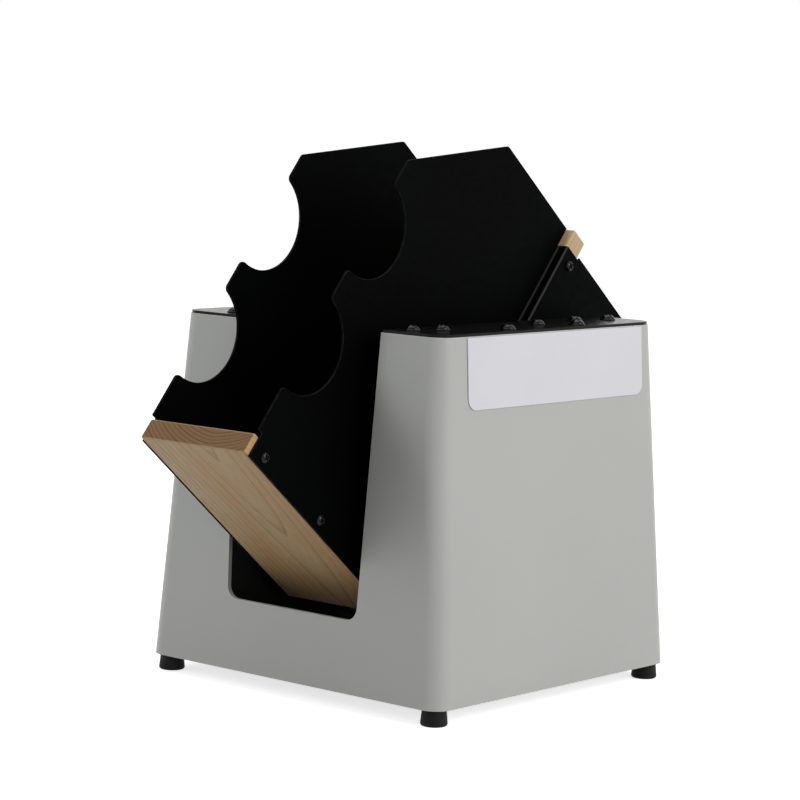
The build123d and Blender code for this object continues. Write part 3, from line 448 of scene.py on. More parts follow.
class Wiring:
    """Adds nodes to a tree and links them."""

    def __init__(self, tree: bpy.types.NodeTree) -> None:
        """Keeps the tree to add to."""
        self.tree = tree

    def add(self, kind: str, inputs: dict | None = None, **settings: object) -> Sockets:
        """Adds a node.

        Args:
            kind: the node type, without its ShaderNode prefix.
            inputs: socket name or number to a value or to the output that feeds it.
            **settings: the node's own properties.

        Returns:
            The new node's outputs.
        """
        node = self.tree.nodes.new("ShaderNode" + kind)
        for key, value in settings.items():
            setattr(node, key, value)
        self.feed(node, inputs or {})
        return node.outputs

    def feed(self, node: bpy.types.Node, inputs: dict) -> None:
        """Sets or links a node's sockets.

        Args:
            node: the node.
            inputs: socket name or number to a value or to the output that feeds it.
        """
        for key, value in inputs.items():
            if isinstance(value, Socket):
                self.tree.links.new(value, node.inputs[key])
            else:
                node.inputs[key].default_value = value

    def math(self, operation: str, *values: object) -> Socket:
        """Adds a Math node with these inputs and gives its result."""
        return self.add("Math", dict(enumerate(values)), operation=operation)[0]

    def mix(self, factor: object, first: object, second: object) -> Socket:
        """Mixes two colours: a factor of 0 gives the first, 1 the second."""
        return self.add("Mix", {0: factor, 6: first, 7: second}, data_type="RGBA")[2]

    def ramp(self, value: object, span: Pair, to: Pair = (0.0, 1.0)) -> Socket:
        """Maps a value that runs over a span smoothly onto a new pair of ends."""
        inputs = dict(enumerate((value, *span, *to)))
        return self.add("MapRange", inputs, interpolation_type="SMOOTHSTEP")[0]

    def effect(self, group: Callable, inputs: dict) -> Sockets:
        """Places a shared effect, given as its function, and gives the node's outputs."""
        return self.add("Group", inputs, node_tree=group())


def cleared(owner: bpy.types.Material | bpy.types.World) -> Wiring:
    """Empties a material's or a world's node tree.

    Args:
        owner: the material or world.

    Returns:
        The wiring of its tree.
    """
    owner.use_nodes = True
    owner.node_tree.nodes.clear()
    return Wiring(owner.node_tree)


def shared_effect(inputs: dict[str, str], outputs: dict[str, str]) -> Callable:
    """Turns a function that wires an effect into one that gives its node group.

    The group carries the function's name and is built once.

    Args:
        inputs: socket name to socket kind.
        outputs: socket name to socket kind.

    Returns:
        The decorator.
    """

    def decorate(wire: Callable) -> Callable:
        """Puts the group's maker in the place of the function that wires it.

        Args:
            wire: takes the wiring and each input's socket, and gives outputs by name.

        Returns:
            The maker.
        """

        @cache
        @wraps(wire)
        def group() -> bpy.types.NodeTree:
            """Builds the group.

            Returns:
                Its tree.
            """
            tree = bpy.data.node_groups.new(wire.__name__, "ShaderNodeTree")
            for direction, sockets in (("INPUT", inputs), ("OUTPUT", outputs)):
                for name, kind in sockets.items():
                    kind = "NodeSocket" + kind
                    tree.interface.new_socket(name, in_out=direction, socket_type=kind)
            starts = tree.nodes.new("NodeGroupInput").outputs[: len(inputs)]
            end = tree.nodes.new("NodeGroupOutput")
            wiring = Wiring(tree)
            wiring.feed(end, wire(wiring, *starts))
            return tree

        return group

    return decorate


BROAD_SCALE = 0.13  # of the skin's broader noise, as a share of the finer one's
BROAD_WEIGHT = 0.6
BROAD_SPAN = (0.35, 0.68)
TONE_SPAN = (0.3, 0.7)  # of the noise between two tones
# The edge mask lightens edges for abrasion and also as a painted highlight.
EDGE_SPAN = (0.995, 0.86)  # of the cosine between the two normals
PATCH_SPAN = (0.36, 0.66)
PATCH_WEAR_AND_HIGHLIGHT = (0.15, 1.0)
LEVEL_SPAN = (0.5, 1.0)  # of the normal's rise, where dust lies
DUST_SCALE = 55.0
DUST_SPAN = (0.4, 0.75)
DUST_FILM = (0.2, 1.0)


@shared_effect({"Vector": "Vector", "Scale": "Float"}, {"Height": "Float", "Mask": "Float"})
def fine_texture(wiring: Wiring, vector: Socket, scale: Socket) -> dict[str, Socket]:
    """The skin of paint or moulded plastic: two sizes of noise.

    Args:
        wiring: the group's wiring.
        vector: the place on the piece.
        scale: of the finer noise.

    Returns:
        The height, and a mask of the broader noise.
    """
    fine = wiring.add("TexNoise", {"Vector": vector, "Scale": scale, "Detail": 2.0})
    broad_scale = wiring.math("MULTIPLY", scale, BROAD_SCALE)
    broad = wiring.add("TexNoise", {"Vector": vector, "Scale": broad_scale, "Detail": 3.0})
    both = wiring.math("MULTIPLY_ADD", broad[0], BROAD_WEIGHT, fine[0])
    return {"Height": both, "Mask": wiring.ramp(broad[0], BROAD_SPAN)}


@shared_effect(
    {"Vector": "Vector", "Scale": "Float", "First": "Color", "Second": "Color"},
    {"Color": "Color"},
)
def colour_drift(
    wiring: Wiring, vector: Socket, scale: Socket, first: Socket, second: Socket
) -> dict[str, Socket]:
    """Slow drift between two tones of one colour.

    Args:
        wiring: the group's wiring.
        vector: the place on the piece.
        scale: of the clouds of tone.
        first: one tone.
        second: the other tone.

    Returns:
        The colour.
    """
    cloud = {"Vector": vector, "Scale": scale, "Detail": 4.0}
    share = wiring.ramp(wiring.add("TexNoise", cloud)[0], TONE_SPAN)
    return {"Color": wiring.mix(share, first, second)}


@shared_effect({"Vector": "Vector", "Radius": "Float", "Breakup": "Float"}, {"Mask": "Float"})
def edge_wear_and_highlight(
    wiring: Wiring, vector: Socket, radius: Socket, breakup: Socket
) -> dict[str, Socket]:
    """Outer and inner edges, where a rounded normal leaves the true one: a mask for abrasion and
    for a painted edge highlight.

    Args:
        wiring: the group's wiring.
        vector: the place on the piece.
        radius: how far from an edge the abrasion and the painted highlight reach.
        breakup: the scale of the patches that it breaks into.

    Returns:
        The mask of the edges.
    """
    rounded = wiring.add("Bevel", {"Radius": radius}, samples=4)
    true = wiring.add("NewGeometry")["Normal"]
    dot = wiring.add("VectorMath", {0: rounded[0], 1: true}, operation="DOT_PRODUCT")
    edge = wiring.ramp(dot["Value"], EDGE_SPAN)
    cloud = wiring.add("TexNoise", {"Vector": vector, "Scale": breakup, "Detail": 5.0})[0]
    return {"Mask": wiring.math("MULTIPLY", edge, wiring.ramp(cloud, PATCH_SPAN, PATCH_WEAR_AND_HIGHLIGHT))}


@shared_effect({"Vector": "Vector", "Amount": "Float"}, {"Mask": "Float"})
def settled_dust(wiring: Wiring, vector: Socket, amount: Socket) -> dict[str, Socket]:
    """A thin patchy film on faces that look up.

    Args:
        wiring: the group's wiring.
        vector: the place on the piece.
        amount: the mask where the film is thickest.

    Returns:
        The film's mask.
    """
    normal = wiring.add("TexCoord")["Normal"]
    rise = wiring.add("SeparateXYZ", {0: normal})["Z"]
    level = wiring.ramp(rise, LEVEL_SPAN)
    cloud = {"Vector": vector, "Scale": DUST_SCALE, "Detail": 8.0, "Roughness": 0.7}
    patches = wiring.ramp(wiring.add("TexNoise", cloud)[0], DUST_SPAN, DUST_FILM)
    return {"Mask": wiring.math("MULTIPLY", wiring.math("MULTIPLY", level, patches), amount)}


WANDER = 0.0035  # m, that rings stray by
WANDER_SCALE = (2.2, 14.0, 14.0)
SPLIT = 0.0045  # m, that the halves of a ring are moved apart by
RING_POWER = 2.6
LINE_POWER = 15.0
RING_FALL = (1.0, 0.94)  # of a ring's width, where its darkness falls back
YEAR_SCALE = 0.7  # of the noise that makes some years darker
YEAR_SPAN = (0.3, 0.7)
YEAR_DARKNESS = (0.45, 1.5)
RING_HEIGHT = -0.5  # of a dark ring against a fibre
FIBRE_SCALE = (70.0, 1300.0, 1300.0)


@shared_effect(
    {"Vector": "Vector", "Pith": "Vector", "Drift": "Vector", "Spacing": "Float"},
    {"Rings": "Float", "Lines": "Float", "Fibres": "Float", "Height": "Float"},
)
def growth_rings(
    wiring: Wiring, vector: Socket, pith: Socket, drift: Socket, spacing: Socket
) -> dict[str, Socket]:
    """Growth rings and fibres of a board whose length lies along x.

    The rings are circles about a pith line that drifts slowly away from x, each split down
    its middle and moved apart, so that they meet in a point on the board's face. Their
    darkness climbs through each ring and falls back at once.

    Args:
        wiring: the group's wiring.
        vector: the place in the board.
        pith: a point of the pith line where x is 0.
        drift: how far the line moves for each metre of x.
        spacing: from one ring to the next.

    Returns:
        The darkness of the rings and of their thin lines, the fibres and the height.
    """

    def vector_math(operation: str, *values: object) -> Socket:
        """Adds a Vector Math node and gives its vector."""
        return wiring.add("VectorMath", dict(enumerate(values)), operation=operation)[0]

    def scaled(value: object, scale: object) -> Socket:
        """Scales a vector."""
        return wiring.add("VectorMath", {0: value, "Scale": scale}, operation="SCALE")[0]

    def stretched_noise(scale: Point, detail: float) -> Sockets:
        """Adds noise of a size of its own along each axis."""
        place = wiring.add("Mapping", {"Vector": vector, "Scale": scale})[0]
        return wiring.add("TexNoise", {"Vector": place, "Scale": 1.0, "Detail": detail})

    bend = stretched_noise(WANDER_SCALE, 3.0)["Color"]
    bend = vector_math("SUBTRACT", bend, (0.5, 0.5, 0.5))
    bent = vector_math("ADD", vector, scaled(bend, WANDER))
    x = wiring.add("SeparateXYZ", {0: vector})["X"]
    middle = vector_math("ADD", pith, scaled(drift, x))
    apart = vector_math("ABSOLUTE", vector_math("SUBTRACT", bent, middle))
    apart = vector_math("ADD", apart, (0.0, SPLIT, 0.0))
    flat = vector_math("MULTIPLY", apart, (0.0, 1.0, 1.0))
    radius = wiring.add("VectorMath", {0: flat}, operation="LENGTH")["Value"]
    turns = wiring.math("DIVIDE", radius, spacing)
    share = wiring.math("FRACT", turns)
    fall = wiring.ramp(share, RING_FALL)
    year = wiring.add("TexNoise", {"W": turns, "Scale": YEAR_SCALE}, noise_dimensions="1D")[0]
    fall = wiring.math("MULTIPLY", fall, wiring.ramp(year, YEAR_SPAN, YEAR_DARKNESS))
    ring = wiring.math("MULTIPLY", wiring.math("POWER", share, RING_POWER), fall)
    line = wiring.math("MULTIPLY", wiring.math("POWER", share, LINE_POWER), fall)
    fibres = stretched_noise(FIBRE_SCALE, 4.0)[0]
    height = wiring.math("MULTIPLY_ADD", ring, RING_HEIGHT, fibres)
    return {"Rings": ring, "Lines": line, "Fibres": fibres, "Height": height}


# --- finishes ---


DUST_COLOUR = (150, 147, 140)
WHITE = (1.0, 1.0, 1.0, 1.0)


class Look:
    """A look with the record's slot for it, and a material made when it is first asked for."""

    name: str
    slot: str

    def inputs(self, wiring: Wiring) -> dict:
        """Wires what feeds the shader.

        Args:
            wiring: the material's wiring.

        Returns:
            Socket name to value or to the output that feeds it.
        """
        raise NotImplementedError

    @cache
    def material(self) -> bpy.types.Material:
        """Makes the material, once.

        Returns:
            The material.
        """
        material = bpy.data.materials.new(self.name + "_finish")
        wiring = cleared(material)
        shader = wiring.add("BsdfPrincipled", self.inputs(wiring))
        wiring.add("OutputMaterial", {"Surface": shader[0]})
        return material


@dataclass(frozen=True)
class Finish(Look):
    """A finish with a fine skin, a slow drift of tone, edges lightened for abrasion and as a
    painted highlight, a painted highlight on marked faces, and a little dust.
    """

    name: str
    slot: str
    colour: Rgb
    second: Rgb
    worn_and_lit: Rgb
    roughness: Pair = (0.4, 0.5)
    metallic: float = 0.0
    specular: float = 0.5
    drift_scale: float = 14.0
    skin_scale: float = 900.0
    skin_height: float = 0.00004
    # Edges are lightened towards the edge colour, partly for abrasion and partly as a painted
    # highlight.
    wear_and_highlight_radius: float = 0.0006
    wear_and_highlight: float = 0.5
    breakup: float = 160.0
    dust: float = 0.0
    coat: float = 0.0
    coat_roughness: float = 0.25
    stretch: Point = (1.0, 1.0, 1.0)
    # Painted highlight: faces that carry the mark attribute are lightened by this share.
    bend_highlight: float = 0.0

    def inputs(self, wiring: Wiring) -> dict:
        """Wires the skin, the drift of tone, the edge lightening (abrasion and painted highlight),
        the painted highlight on marked faces and the dust.

        Args:
            wiring: the material's wiring.

        Returns:
            Socket name to value or to the output that feeds it.
        """
        objects = wiring.add("TexCoord")["Object"]
        place = wiring.add("Mapping", {"Vector": objects, "Scale": self.stretch})[0]
        skin = wiring.effect(fine_texture, {"Vector": place, "Scale": self.skin_scale})
        drift = {"Vector": place, "Scale": self.drift_scale}
        drift |= {"First": linear(self.colour), "Second": linear(self.second)}
        colour = wiring.effect(colour_drift, drift)["Color"]
        edges = {"Vector": place, "Radius": self.wear_and_highlight_radius, "Breakup": self.breakup}
        edge = wiring.effect(edge_wear_and_highlight, edges)["Mask"]
        # Edge lightening: abrasion and a painted highlight.
        worn_and_lit = wiring.math("MULTIPLY", edge, self.wear_and_highlight)
        # Marked faces are lightened as a painted highlight.
        if self.bend_highlight:
            mark = wiring.add("Attribute", attribute_name="mark")["Fac"]
            worn_and_lit = wiring.math("MAXIMUM", worn_and_lit, wiring.math("MULTIPLY", mark, self.bend_highlight))
        colour = wiring.mix(worn_and_lit, colour, linear(self.worn_and_lit))
        if self.dust:
            film = wiring.effect(settled_dust, {"Vector": place, "Amount": self.dust})
            colour = wiring.mix(film["Mask"], colour, linear(DUST_COLOUR))
        height = {"Height": skin["Height"], "Distance": self.skin_height, "Strength": 1.0}
        return {
            "Base Color": colour,
            "Roughness": wiring.ramp(skin["Mask"], (0.0, 1.0), self.roughness),
            "Normal": wiring.add("Bump", height)[0],
            "Metallic": self.metallic,
            "Specular IOR Level": self.specular,
            "Coat Weight": self.coat,
            "Coat Roughness": self.coat_roughness,
        }


@dataclass(frozen=True)
class BoardFinish(Look):
    """Clear-lacquered hardwood with growth rings, fibres and darker end grain."""

    name: str
    slot: str
    early: Rgb
    early_drift: Rgb
    late: Rgb
    line: Rgb
    end_early: Rgb
    end_late: Rgb
    turn: float
    warm_side: Pair
    pith: Point
    drift: Point
    spacing: float
    roughness: Pair = (0.38, 0.55)
    specular: float = 0.15
    warmth: float = 0.8
    drift_scale: float = 26.0
    drift_stretch: Point = (0.35, 1.0, 1.0)
    streaks: float = 0.4
    streak_span: Pair = (0.42, 0.7)
    ring_tone: float = 0.16
    pores: float = 0.5
    pore_scale: float = 1400.0
    pore_span: Pair = (0.45, 0.75)
    end_span: Pair = (0.2, 0.8)
    skin_height: float = 0.00006

    def inputs(self, wiring: Wiring) -> dict:
        """Wires the long grain, and the end grain on faces that are marked.

        Args:
            wiring: the material's wiring.

        Returns:
            Socket name to value or to the output that feeds it.
        """
        objects = wiring.add("TexCoord")["Object"]
        lay = {"Vector": objects, "Rotation": (0.0, self.turn, 0.0)}
        board = wiring.add("Mapping", lay)[0]
        grain = {"Vector": board, "Pith": self.pith, "Drift": self.drift, "Spacing": self.spacing}
        grain = wiring.effect(growth_rings, grain)
        early, warm, late = linear(self.early), linear(self.early_drift), linear(self.late)
        broad = wiring.add("Mapping", {"Vector": board, "Scale": self.drift_stretch})[0]
        drift = {"Vector": broad, "Scale": self.drift_scale, "First": early, "Second": warm}
        side = wiring.effect(colour_drift, drift)["Color"]
        across = wiring.add("SeparateXYZ", {0: board})["Y"]
        side = wiring.mix(wiring.ramp(across, self.warm_side, (0.0, self.warmth)), side, warm)
        streaks = wiring.ramp(grain["Fibres"], self.streak_span, (0.0, self.streaks))
        side = wiring.mix(streaks, side, late)
        side = wiring.mix(wiring.math("MULTIPLY", grain["Rings"], self.ring_tone), side, late)
        side = wiring.mix(wiring.math("MINIMUM", grain["Lines"], 1.0), side, linear(self.line))
        rings = wiring.math("MINIMUM", grain["Rings"], 1.0)
        end_late = linear(self.end_late)
        end = wiring.mix(rings, linear(self.end_early), end_late)
        fleck = {"Vector": board, "Scale": self.pore_scale, "Detail": 2.0}
        fleck = wiring.add("TexNoise", fleck)[0]
        end = wiring.mix(wiring.ramp(fleck, self.pore_span, (0.0, self.pores)), end, end_late)
        mark = wiring.add("Attribute", attribute_name="mark")["Fac"]
        height = {"Height": grain["Height"], "Distance": self.skin_height, "Strength": 1.0}
        return {
            "Base Color": wiring.mix(wiring.ramp(mark, self.end_span), side, end),
            "Roughness": wiring.ramp(grain["Fibres"], TONE_SPAN, self.roughness),
            "Normal": wiring.add("Bump", height)[0],
            "Specular IOR Level": self.specular,
        }


class Finishes:
    """Every finish on the jogger."""

    # Casing: its edges are lightened towards (230, 230, 227) as a painted highlight.
    CASING = Finish(
        "casing_plastic", "casing_plastic", (184, 185, 181), (181, 182, 178), (230, 230, 227),
        roughness=(0.42, 0.5), specular=0.35, skin_scale=1100.0, skin_height=0.00003,
        wear_and_highlight_radius=0.0012, wear_and_highlight=0.6, drift_scale=7.0,
    )
    # Inner walls: black sheet given a lighter colour, (50, 53, 50), as painted fill light inside
    # the casing; edges also lightened as a painted highlight.
    WALL = Finish(
        "wall_sheet_painted_fill", "black_sheet", (50, 53, 50), (45, 48, 45), (104, 104, 100),
        roughness=(0.4, 0.5), specular=0.2, skin_scale=1500.0, skin_height=0.00002,
        wear_and_highlight_radius=0.0005, wear_and_highlight=0.4,
    )
    # Side panels: edges and the marked bend faces are lightened towards (104, 104, 100) as a
    # painted highlight.
    PANEL = Finish(
        "panel_sheet", "black_sheet", (3, 4, 4), (3, 3, 3), (104, 104, 100),
        roughness=(0.5, 0.6), specular=0.015, skin_scale=1500.0, skin_height=0.00002,
        wear_and_highlight_radius=0.0005, wear_and_highlight=0.4, bend_highlight=0.33,
    )
    # Decks: edges lightened a little as a painted highlight.
    DECK = Finish(
        "deck_sheet", "black_sheet", (8, 9, 8), (6, 7, 6), (60, 60, 58),
        roughness=(0.2, 0.26), specular=0.12, skin_scale=1500.0, skin_height=0.00001,
        wear_and_highlight_radius=0.0004, wear_and_highlight=0.1, dust=0.01,
    )
    LABEL = Finish(
        "label_white", "label_white", (219, 219, 224), (215, 215, 220), (230, 230, 234),
        roughness=(0.32, 0.38), skin_scale=2500.0, skin_height=0.000008, wear_and_highlight=0.2,
    )
    RUBBER = Finish(
        "foot_rubber", "foot_rubber", (17, 17, 17), (14, 14, 14), (40, 40, 39),
        roughness=(0.55, 0.7), specular=0.15, skin_scale=800.0, dust=0.04,
    )
    # Black screws: edges lightened towards (112, 110, 104) as painted glints.
    BLACK_SCREW = Finish(
        "black_screws", "black_screws", (9, 9, 10), (7, 7, 8), (112, 110, 104),
        roughness=(0.1, 0.16), specular=0.2, skin_scale=2000.0, skin_height=0.000004,
        wear_and_highlight_radius=0.0003, wear_and_highlight=0.45,
    )
    ZINC = Finish(
        "plated_steel", "plated_steel", (178, 177, 170), (164, 165, 162), (205, 204, 200),
        roughness=(0.28, 0.42), metallic=1.0, skin_scale=1800.0, skin_height=0.00001,
        wear_and_highlight=0.3, drift_scale=60.0,
    )
    IRON = Finish(
        "base_iron", "base_iron", (62, 64, 65), (54, 55, 57), (96, 96, 95),
        roughness=(0.5, 0.65), specular=0.35, skin_scale=420.0, skin_height=0.0001,
        wear_and_highlight_radius=0.0009, dust=0.1,
    )
    CORE = Finish(
        "core_steel", "core_steel", (112, 113, 116), (86, 87, 90), (150, 150, 150),
        roughness=(0.35, 0.5), metallic=1.0, skin_scale=500.0, skin_height=0.00006,
        stretch=(0.2, 5.0, 0.2), drift_scale=300.0,
    )
    COPPER = Finish(
        "coil_winding", "coil_winding", (176, 88, 44), (146, 66, 32), (196, 112, 64),
        roughness=(0.22, 0.34), metallic=0.8, coat=0.5, drift_scale=90.0,
        stretch=(4.0, 0.5, 0.5),
    )
    SLAT = Finish(
        "slat_fibre", "slat_fibre", (184, 156, 88), (150, 122, 60), (204, 184, 128),
        roughness=(0.35, 0.5), skin_scale=600.0, skin_height=0.00005, drift_scale=120.0,
        stretch=(1.0, 3.0, 0.3), coat=0.2,
    )
    BLACK_PLASTIC = Finish(
        "black_plastic", "black_plastic", (30, 30, 31), (26, 26, 27), (58, 58, 58),
        roughness=(0.4, 0.52), specular=0.4, skin_scale=1200.0,
    )
    BOARD_GREEN = Finish(
        "board_green", "board_green", (28, 96, 52), (22, 80, 42), (60, 120, 76),
        roughness=(0.25, 0.35), skin_scale=900.0, drift_scale=220.0, coat=0.3,
    )
    MARK_BLACK = Finish(
        "mark_black", "black_plastic", (42, 42, 43), (38, 38, 39), (60, 60, 60),
        roughness=(0.5, 0.6), specular=0.2, skin_scale=2400.0, skin_height=0.000005,
    )
    MARK_WHITE = Finish(
        "mark_white", "label_white", (225, 225, 222), (216, 216, 212), (235, 235, 232),
        roughness=(0.45, 0.55), skin_scale=2400.0, skin_height=0.000005,
    )
    FLOOR_BOARD = BoardFinish(
        "maple_floor", "maple", (197, 173, 136), (193, 157, 113), (158, 118, 76), (104, 64, 32),
        (134, 102, 68), (86, 58, 34), turn=-BIN_TILT, warm_side=(-0.02, -0.04),
        pith=(0.0, -0.0136, 0.0816), drift=(0.0, 0.0, 0.0262), spacing=0.002773,
    )
    BACK_BOARD = BoardFinish(
        "maple_back", "maple", (203, 179, 144), (197, 171, 134), (176, 144, 104), (150, 116, 78),
        (178, 148, 112), (136, 104, 72), turn=pi / 2 - BIN_TILT, warm_side=(0.02, 0.06),
        pith=(0.0, 0.05, 0.19), drift=(0.0, -0.02, 0.04), spacing=0.003,
    )


# --- sub-assemblies ---


@dataclass
class CrossHeadScrew:
    """A pan-head screw with a cross recess, and a washer if it has one."""

    head_radius: float
    head_height: float
    shank_radius: float
    shank_length: float
    washer_radius: float = 0.0
    washer_thickness: float = 0.0
    washer_play: float = 1.02
    washer_ease: float = 0.3
    dome_power: float = 2.5
    arm_share: float = 0.56
    slot_share: float = 0.14
    recess_share: float = 0.62
    recess_slope: Pair = (0.35, -0.65)
    recess_rim: Pair = (0.2, 0.6)
    tip_share: Pair = (0.7, 0.5)
    seat_share: float = 0.97
    rows: int = 22
    segments: int = 56

    def head(self, spin: float) -> Grid:
        """The screw's whole surface, from the shank's tip to the middle of the head.

        The dome is h (1 - (r/R)^p)^(1/p). The recess lowers it inside a cross, whose edge
        distance is the smaller of two slots' box distances.

        Args:
            spin: the angle that the cross is turned by.

        Returns:
            A grid about local z, with the head's seat at z = 0.
        """
        angle = np.linspace(0, 2 * pi, self.segments, endpoint=False)
        reach = np.sin(np.linspace(pi / 2, 0, self.rows))[:, None] * self.head_radius
        x, y = reach * np.cos(angle), reach * np.sin(angle)
        dome = (1 - (reach / self.head_radius) ** self.dome_power) ** (1 / self.dome_power)
        arm = self.arm_share * self.head_radius
        slot = self.slot_share * self.head_radius
        along_x = np.maximum(abs(x) - arm, abs(y) - slot)
        along_y = np.maximum(abs(y) - arm, abs(x) - slot)
        rise, sink = (slot * share for share in self.recess_slope)
        inside = smooth_step(rise, sink, np.minimum(along_x, along_y))
        sunk = self.recess_share * inside * smooth_step(*self.recess_rim, dome)
        z = self.head_height * (dome - sunk)
        radius, tip = self.shank_radius, -self.shank_length
        narrow, bevel = (radius * share for share in self.tip_share)
        seat = (self.head_radius * self.seat_share, 0.0)
        profile = [(0.0, tip), (narrow, tip), (radius, tip + bevel), (radius, 0.0), seat]
        shank = turned(np.array(profile), self.segments)
        grid = np.concatenate([shank, np.stack([x, y, z], axis=-1)])
        turn = np.array([[cos(spin), sin(spin), 0], [-sin(spin), cos(spin), 0], [0, 0, 1.0]])
        return grid @ turn

    def washer(self) -> Grid:
        """The washer's ring, eased at its rim, under the head.

        Returns:
            A grid about local z that closes on itself.
        """
        inner, outer = self.shank_radius * self.washer_play, self.washer_radius
        low, ease = -self.washer_thickness, self.washer_thickness * self.washer_ease
        section = [
            (inner, low), (outer - ease, low), (outer, low + ease), (outer, -ease),
            (outer - ease, 0.0), (inner, 0.0), (inner, low),
        ]
        return turned(np.array(section), self.segments)

    def add_to(self, shell: Shell, placing: Placing, spin: float) -> None:
        """Adds one screw to a shell.

        Args:
            shell: the shell.
            placing: the head's seat, with outward away from the work.
            spin: the angle that the cross is turned by.
        """
        shell.add(self.head(spin), placing)
        if self.washer_radius:
            shell.add(self.washer(), placing)


class SubAssembly:
    """What every sub-assembly of the jogger does to put a piece in place."""

    def settle(
        self, piece: bpy.types.Object, body: Body, finish: Look, *nodes: str, slot: str = ""
    ) -> None:
        """Dresses a piece, makes it ride, and has it stand for its CAD nodes.

        Args:
            piece: the new piece.
            body: what it moves with.
            finish: its finish.
            *nodes: the CAD nodes that it stands for.
            slot: the record's slot, where it isn't the finish's own; not used.
        """
        piece.data.materials.clear()
        piece.data.materials.append(finish.material())
        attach(piece, body.value)
        if nodes:
            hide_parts(*nodes)
        log.info("%s rides on %s, %d faces", piece.name, body.value, len(piece.data.polygons))

    def eased(self, body: Body, finish: Look, edge: float, *nodes: str, slot: str = "") -> None:
        """Replaces CAD nodes by copies with edges rounded to a width."""
        for node in nodes:
            self.settle(eased_node(node, edge), body, finish, node, slot=slot)

    def drive(
        self, screw: CrossHeadScrew, seats: list[Placing], body: Body, seed: int, node: str
    ) -> None:
        """Replaces a node of black screws by turned ones, each cross at an angle of its own.

        Args:
            screw: the kind of screw.
            seats: where the heads sit.
            body: what they move with.
            seed: of the angles.
            node: the CAD node.
        """
        spins = np.random.default_rng(seed).uniform(0, pi, SPINS)
        shell = Shell(node + "_turned")
        for seat, spin in zip(seats, spins):
            screw.add_to(shell, seat, spin)
        self.settle(shell.piece(), body, Finishes.BLACK_SCREW, node)


@dataclass
class Tower(SubAssembly):
    """The casing with its decks, label, feet, base plate and inner walls."""

    moulded_edge: float = 0.0009
    sheet_edge: float = 0.0003
    foot_edge: float = 0.0018
    foot_bead: float = 0.0009
    well_radius: float = 0.0055
    well_floor: float = 0.006
    well_lip: float = 0.0005
    hole_radius: float = 0.0025
    head_radius: float = 0.005
    head_height_share: float = 0.8
    shank_radius: float = 0.0025
    washer_radius: float = 0.00575
    washer_thickness: float = 0.0009
    dome_power: float = 2.0
    spin_seed: int = 7
    segments: int = 64
    quarter_steps: int = 7

    def build(self) -> None:
        """Builds and dresses the whole sub-assembly."""
        base = Body.BASE
        self.eased(base, Finishes.CASING, self.moulded_edge, "casing")
        self.eased(base, Finishes.DECK, self.sheet_edge, "front_deck", "rear_deck")
        # The inner walls take the lightened sheet colour: painted fill light.
        for wall in ("front_inner_wall", "rear_inner_wall"):
            self.eased(base, Finishes.WALL, self.sheet_edge, wall)
        self.eased(base, Finishes.LABEL, self.sheet_edge, "label_plate")
        self.eased(base, Finishes.IRON, self.moulded_edge, "base_plate")
        self.deck_screws("front_deck")
        self.deck_screws("rear_deck")
        for place in ("front_left", "front_right", "rear_left", "rear_right"):
            self.foot(place)
        for screws in ("foot_screws", "wall_screws"):
            self.eased(base, Finishes.ZINC, self.sheet_edge, screws, slot="plated_screws")

    def deck_screws(self, deck: str) -> None:
        """Makes a deck's screws and washers where the CAD solids stand.

        Args:
            deck: the deck's node.
        """
        node = deck + "_screws"
        low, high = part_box(node)
        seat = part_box(deck)[1].z + self.washer_thickness
        screw = CrossHeadScrew(
            head_radius=self.head_radius,
            head_height=(high.z - seat) * self.head_height_share,
            shank_radius=self.shank_radius,
            shank_length=seat - low.z,
            washer_radius=self.washer_radius,
            washer_thickness=self.washer_thickness,
            dome_power=self.dome_power,
        )
        seats = [upright((x, y, seat)) for x, y, _ in solid_centres(node)]
        self.drive(screw, seats, Body.BASE, self.spin_seed, node)

    def foot(self, place: str) -> None:
        """Makes one rubber foot: a drum with a rounded tread, a seat bead and a screw well.

        Args:
            place: which corner it stands under.
        """
        node = "foot_" + place
        low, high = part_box(node)
        wide = (high.x - low.x) / 2
        tall = high.z - low.z
        turn = np.linspace(0, pi / 2, self.quarter_steps)
        tread = self.foot_edge * np.stack([np.sin(turn) - 1, 1 - np.cos(turn)], axis=-1)
        lip = self.well_lip * np.stack([1 - np.sin(turn), 1 - np.cos(turn)], axis=-1)[::-1]
        bead = self.foot_bead * np.stack(
            [np.sin(2 * turn) - 1, tall / self.foot_bead - 1 - np.cos(2 * turn)], axis=-1
        )
        well = [(self.hole_radius, self.well_floor), (self.well_radius, self.well_floor)]
        section = [
            np.array(well),
            lip + (self.well_radius, 0.0),
            tread + (wide, 0.0),
            bead + (wide, 0.0),
            np.array([(self.hole_radius, tall), well[0]]),
        ]
        middle = (low + high) / 2
        placing = upright((middle.x, middle.y, low.z))
        drum = turned(np.concatenate(section), self.segments)
        shell = Shell(node + "_moulded").add(drum, placing)
        self.settle(shell.piece(), Body.BASE, Finishes.RUBBER, node)


